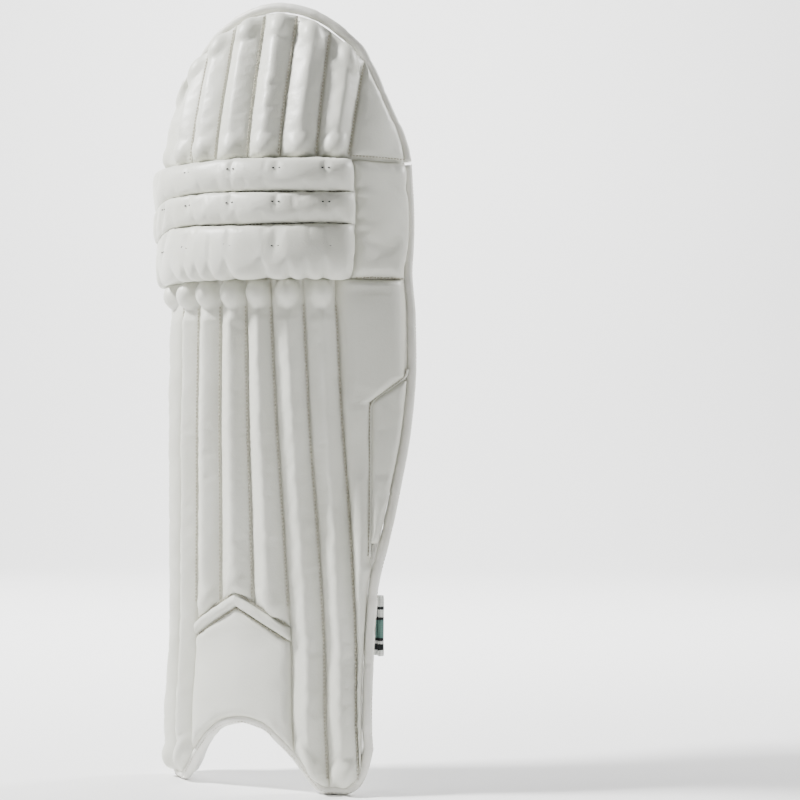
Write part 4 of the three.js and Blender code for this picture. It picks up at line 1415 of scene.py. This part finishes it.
GUSSET_ENDS = (CREASE_Z - 7, CREASE_Z + 7)
gusset = slab("crease_gusset", (lambda z: medial_edge(z) + 1, lambda z: lateral_edge(z) - 1), GUSSET_ENDS,
              flat(FRONT_SEAM), flat(-19.5), LEATHER, spacing=3, soft=None)
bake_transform(gusset)

for node, piece in frame["nodes"].items():
    if node.endswith("_board"):
        piece.data.materials.clear()
        piece.data.materials.append(FOAM)

# ---------------------------------------------------------------- floor, light and camera
CAMERA_MM, HEADING, LENS = (868.52, -1582.45, 355), 24.1, 89.7


def paper(name):
    s = Surface(name, 0.9)
    s.colour(s.blend(s.noise(3, 4), (0.93, 0.93, 0.925), (0.91, 0.91, 0.905)))
    s.relief(s.noise(260, 3), 0.1)
    return s.material


def backdrop():
    """A pale floor that curves up into a wall behind the pad."""
    near, far, rise, bend, half_width = -4.0, 3.2, 4.0, 0.9, 7.0
    profile = [(near, 0.0), (far - bend, 0.0)]
    profile += [(far - bend + bend * math.sin(a), bend - bend * math.cos(a))
                for a in np.radians(np.arange(6, 91, 6))]
    profile += [(far, rise)]
    heading = math.radians(HEADING)
    ahead = np.array([-math.sin(heading), math.cos(heading), 0])
    right = np.array([math.cos(heading), math.sin(heading), 0])
    points = [ahead * d + right * side + np.array([0, 0, h])
              for d, h in profile for side in (-half_width, half_width)]
    faces = [[2 * k, 2 * k + 1, 2 * k + 3, 2 * k + 2] for k in range(len(profile) - 1)]
    return make_mesh("studio_floor", points, faces, None, paper("studio_paper"))


backdrop()

camera = bpy.data.objects.new("camera", bpy.data.cameras.new("camera"))
bpy.context.scene.collection.objects.link(camera)
camera.data.lens = LENS
camera.data.sensor_width = 36
camera.location = np.array(CAMERA_MM) * MM + ORIGIN
camera.rotation_euler = (math.radians(90), 0, math.radians(HEADING))
bpy.context.scene.camera = camera

AIM = Vector((0, 0, 0.38))


def softbox(name, azimuth, height, distance, size, watts, aim=AIM):
    """A square light. azimuth is the camera azimuth that it shines from."""
    light = bpy.data.lights.new(name, "AREA")
    light.shape = "SQUARE"
    light.size = size
    light.energy = watts
    lamp = bpy.data.objects.new(name, light)
    bpy.context.scene.collection.objects.link(lamp)
    angle = math.radians(azimuth)
    lamp.location = (distance * math.sin(angle), -distance * math.cos(angle), height)
    lamp.rotation_euler = (aim - lamp.location).to_track_quat("-Z", "Y").to_euler()


softbox("key", -60, 2.2, 1.7, 0.30, 190)
softbox("front", -12, 2.2, 2.2, 0.6, 9)
softbox("fill", 100, 0.9, 2.3, 1.0, 12)
softbox("back_key", 140, 1.7, 1.9, 0.5, 50)
softbox("back_fill", 235, 0.9, 2.2, 1.0, 8)
for side_name, side in (("left", -1), ("right", 1)):
    softbox(f"wall_wash_{side_name}", HEADING + 180 + side * 38, 1.9, 1.3, 1.4, 80,
            aim=Vector((-1.3 + side * 1.0, 3.0 + side * 0.45, 1.1)))
world = bpy.data.worlds.new("studio")
world.use_nodes = True
background = world.node_tree.nodes["Background"]
background.inputs["Color"].default_value = (1, 1, 1, 1)
background.inputs["Strength"].default_value = 0.05
bpy.context.scene.world = world
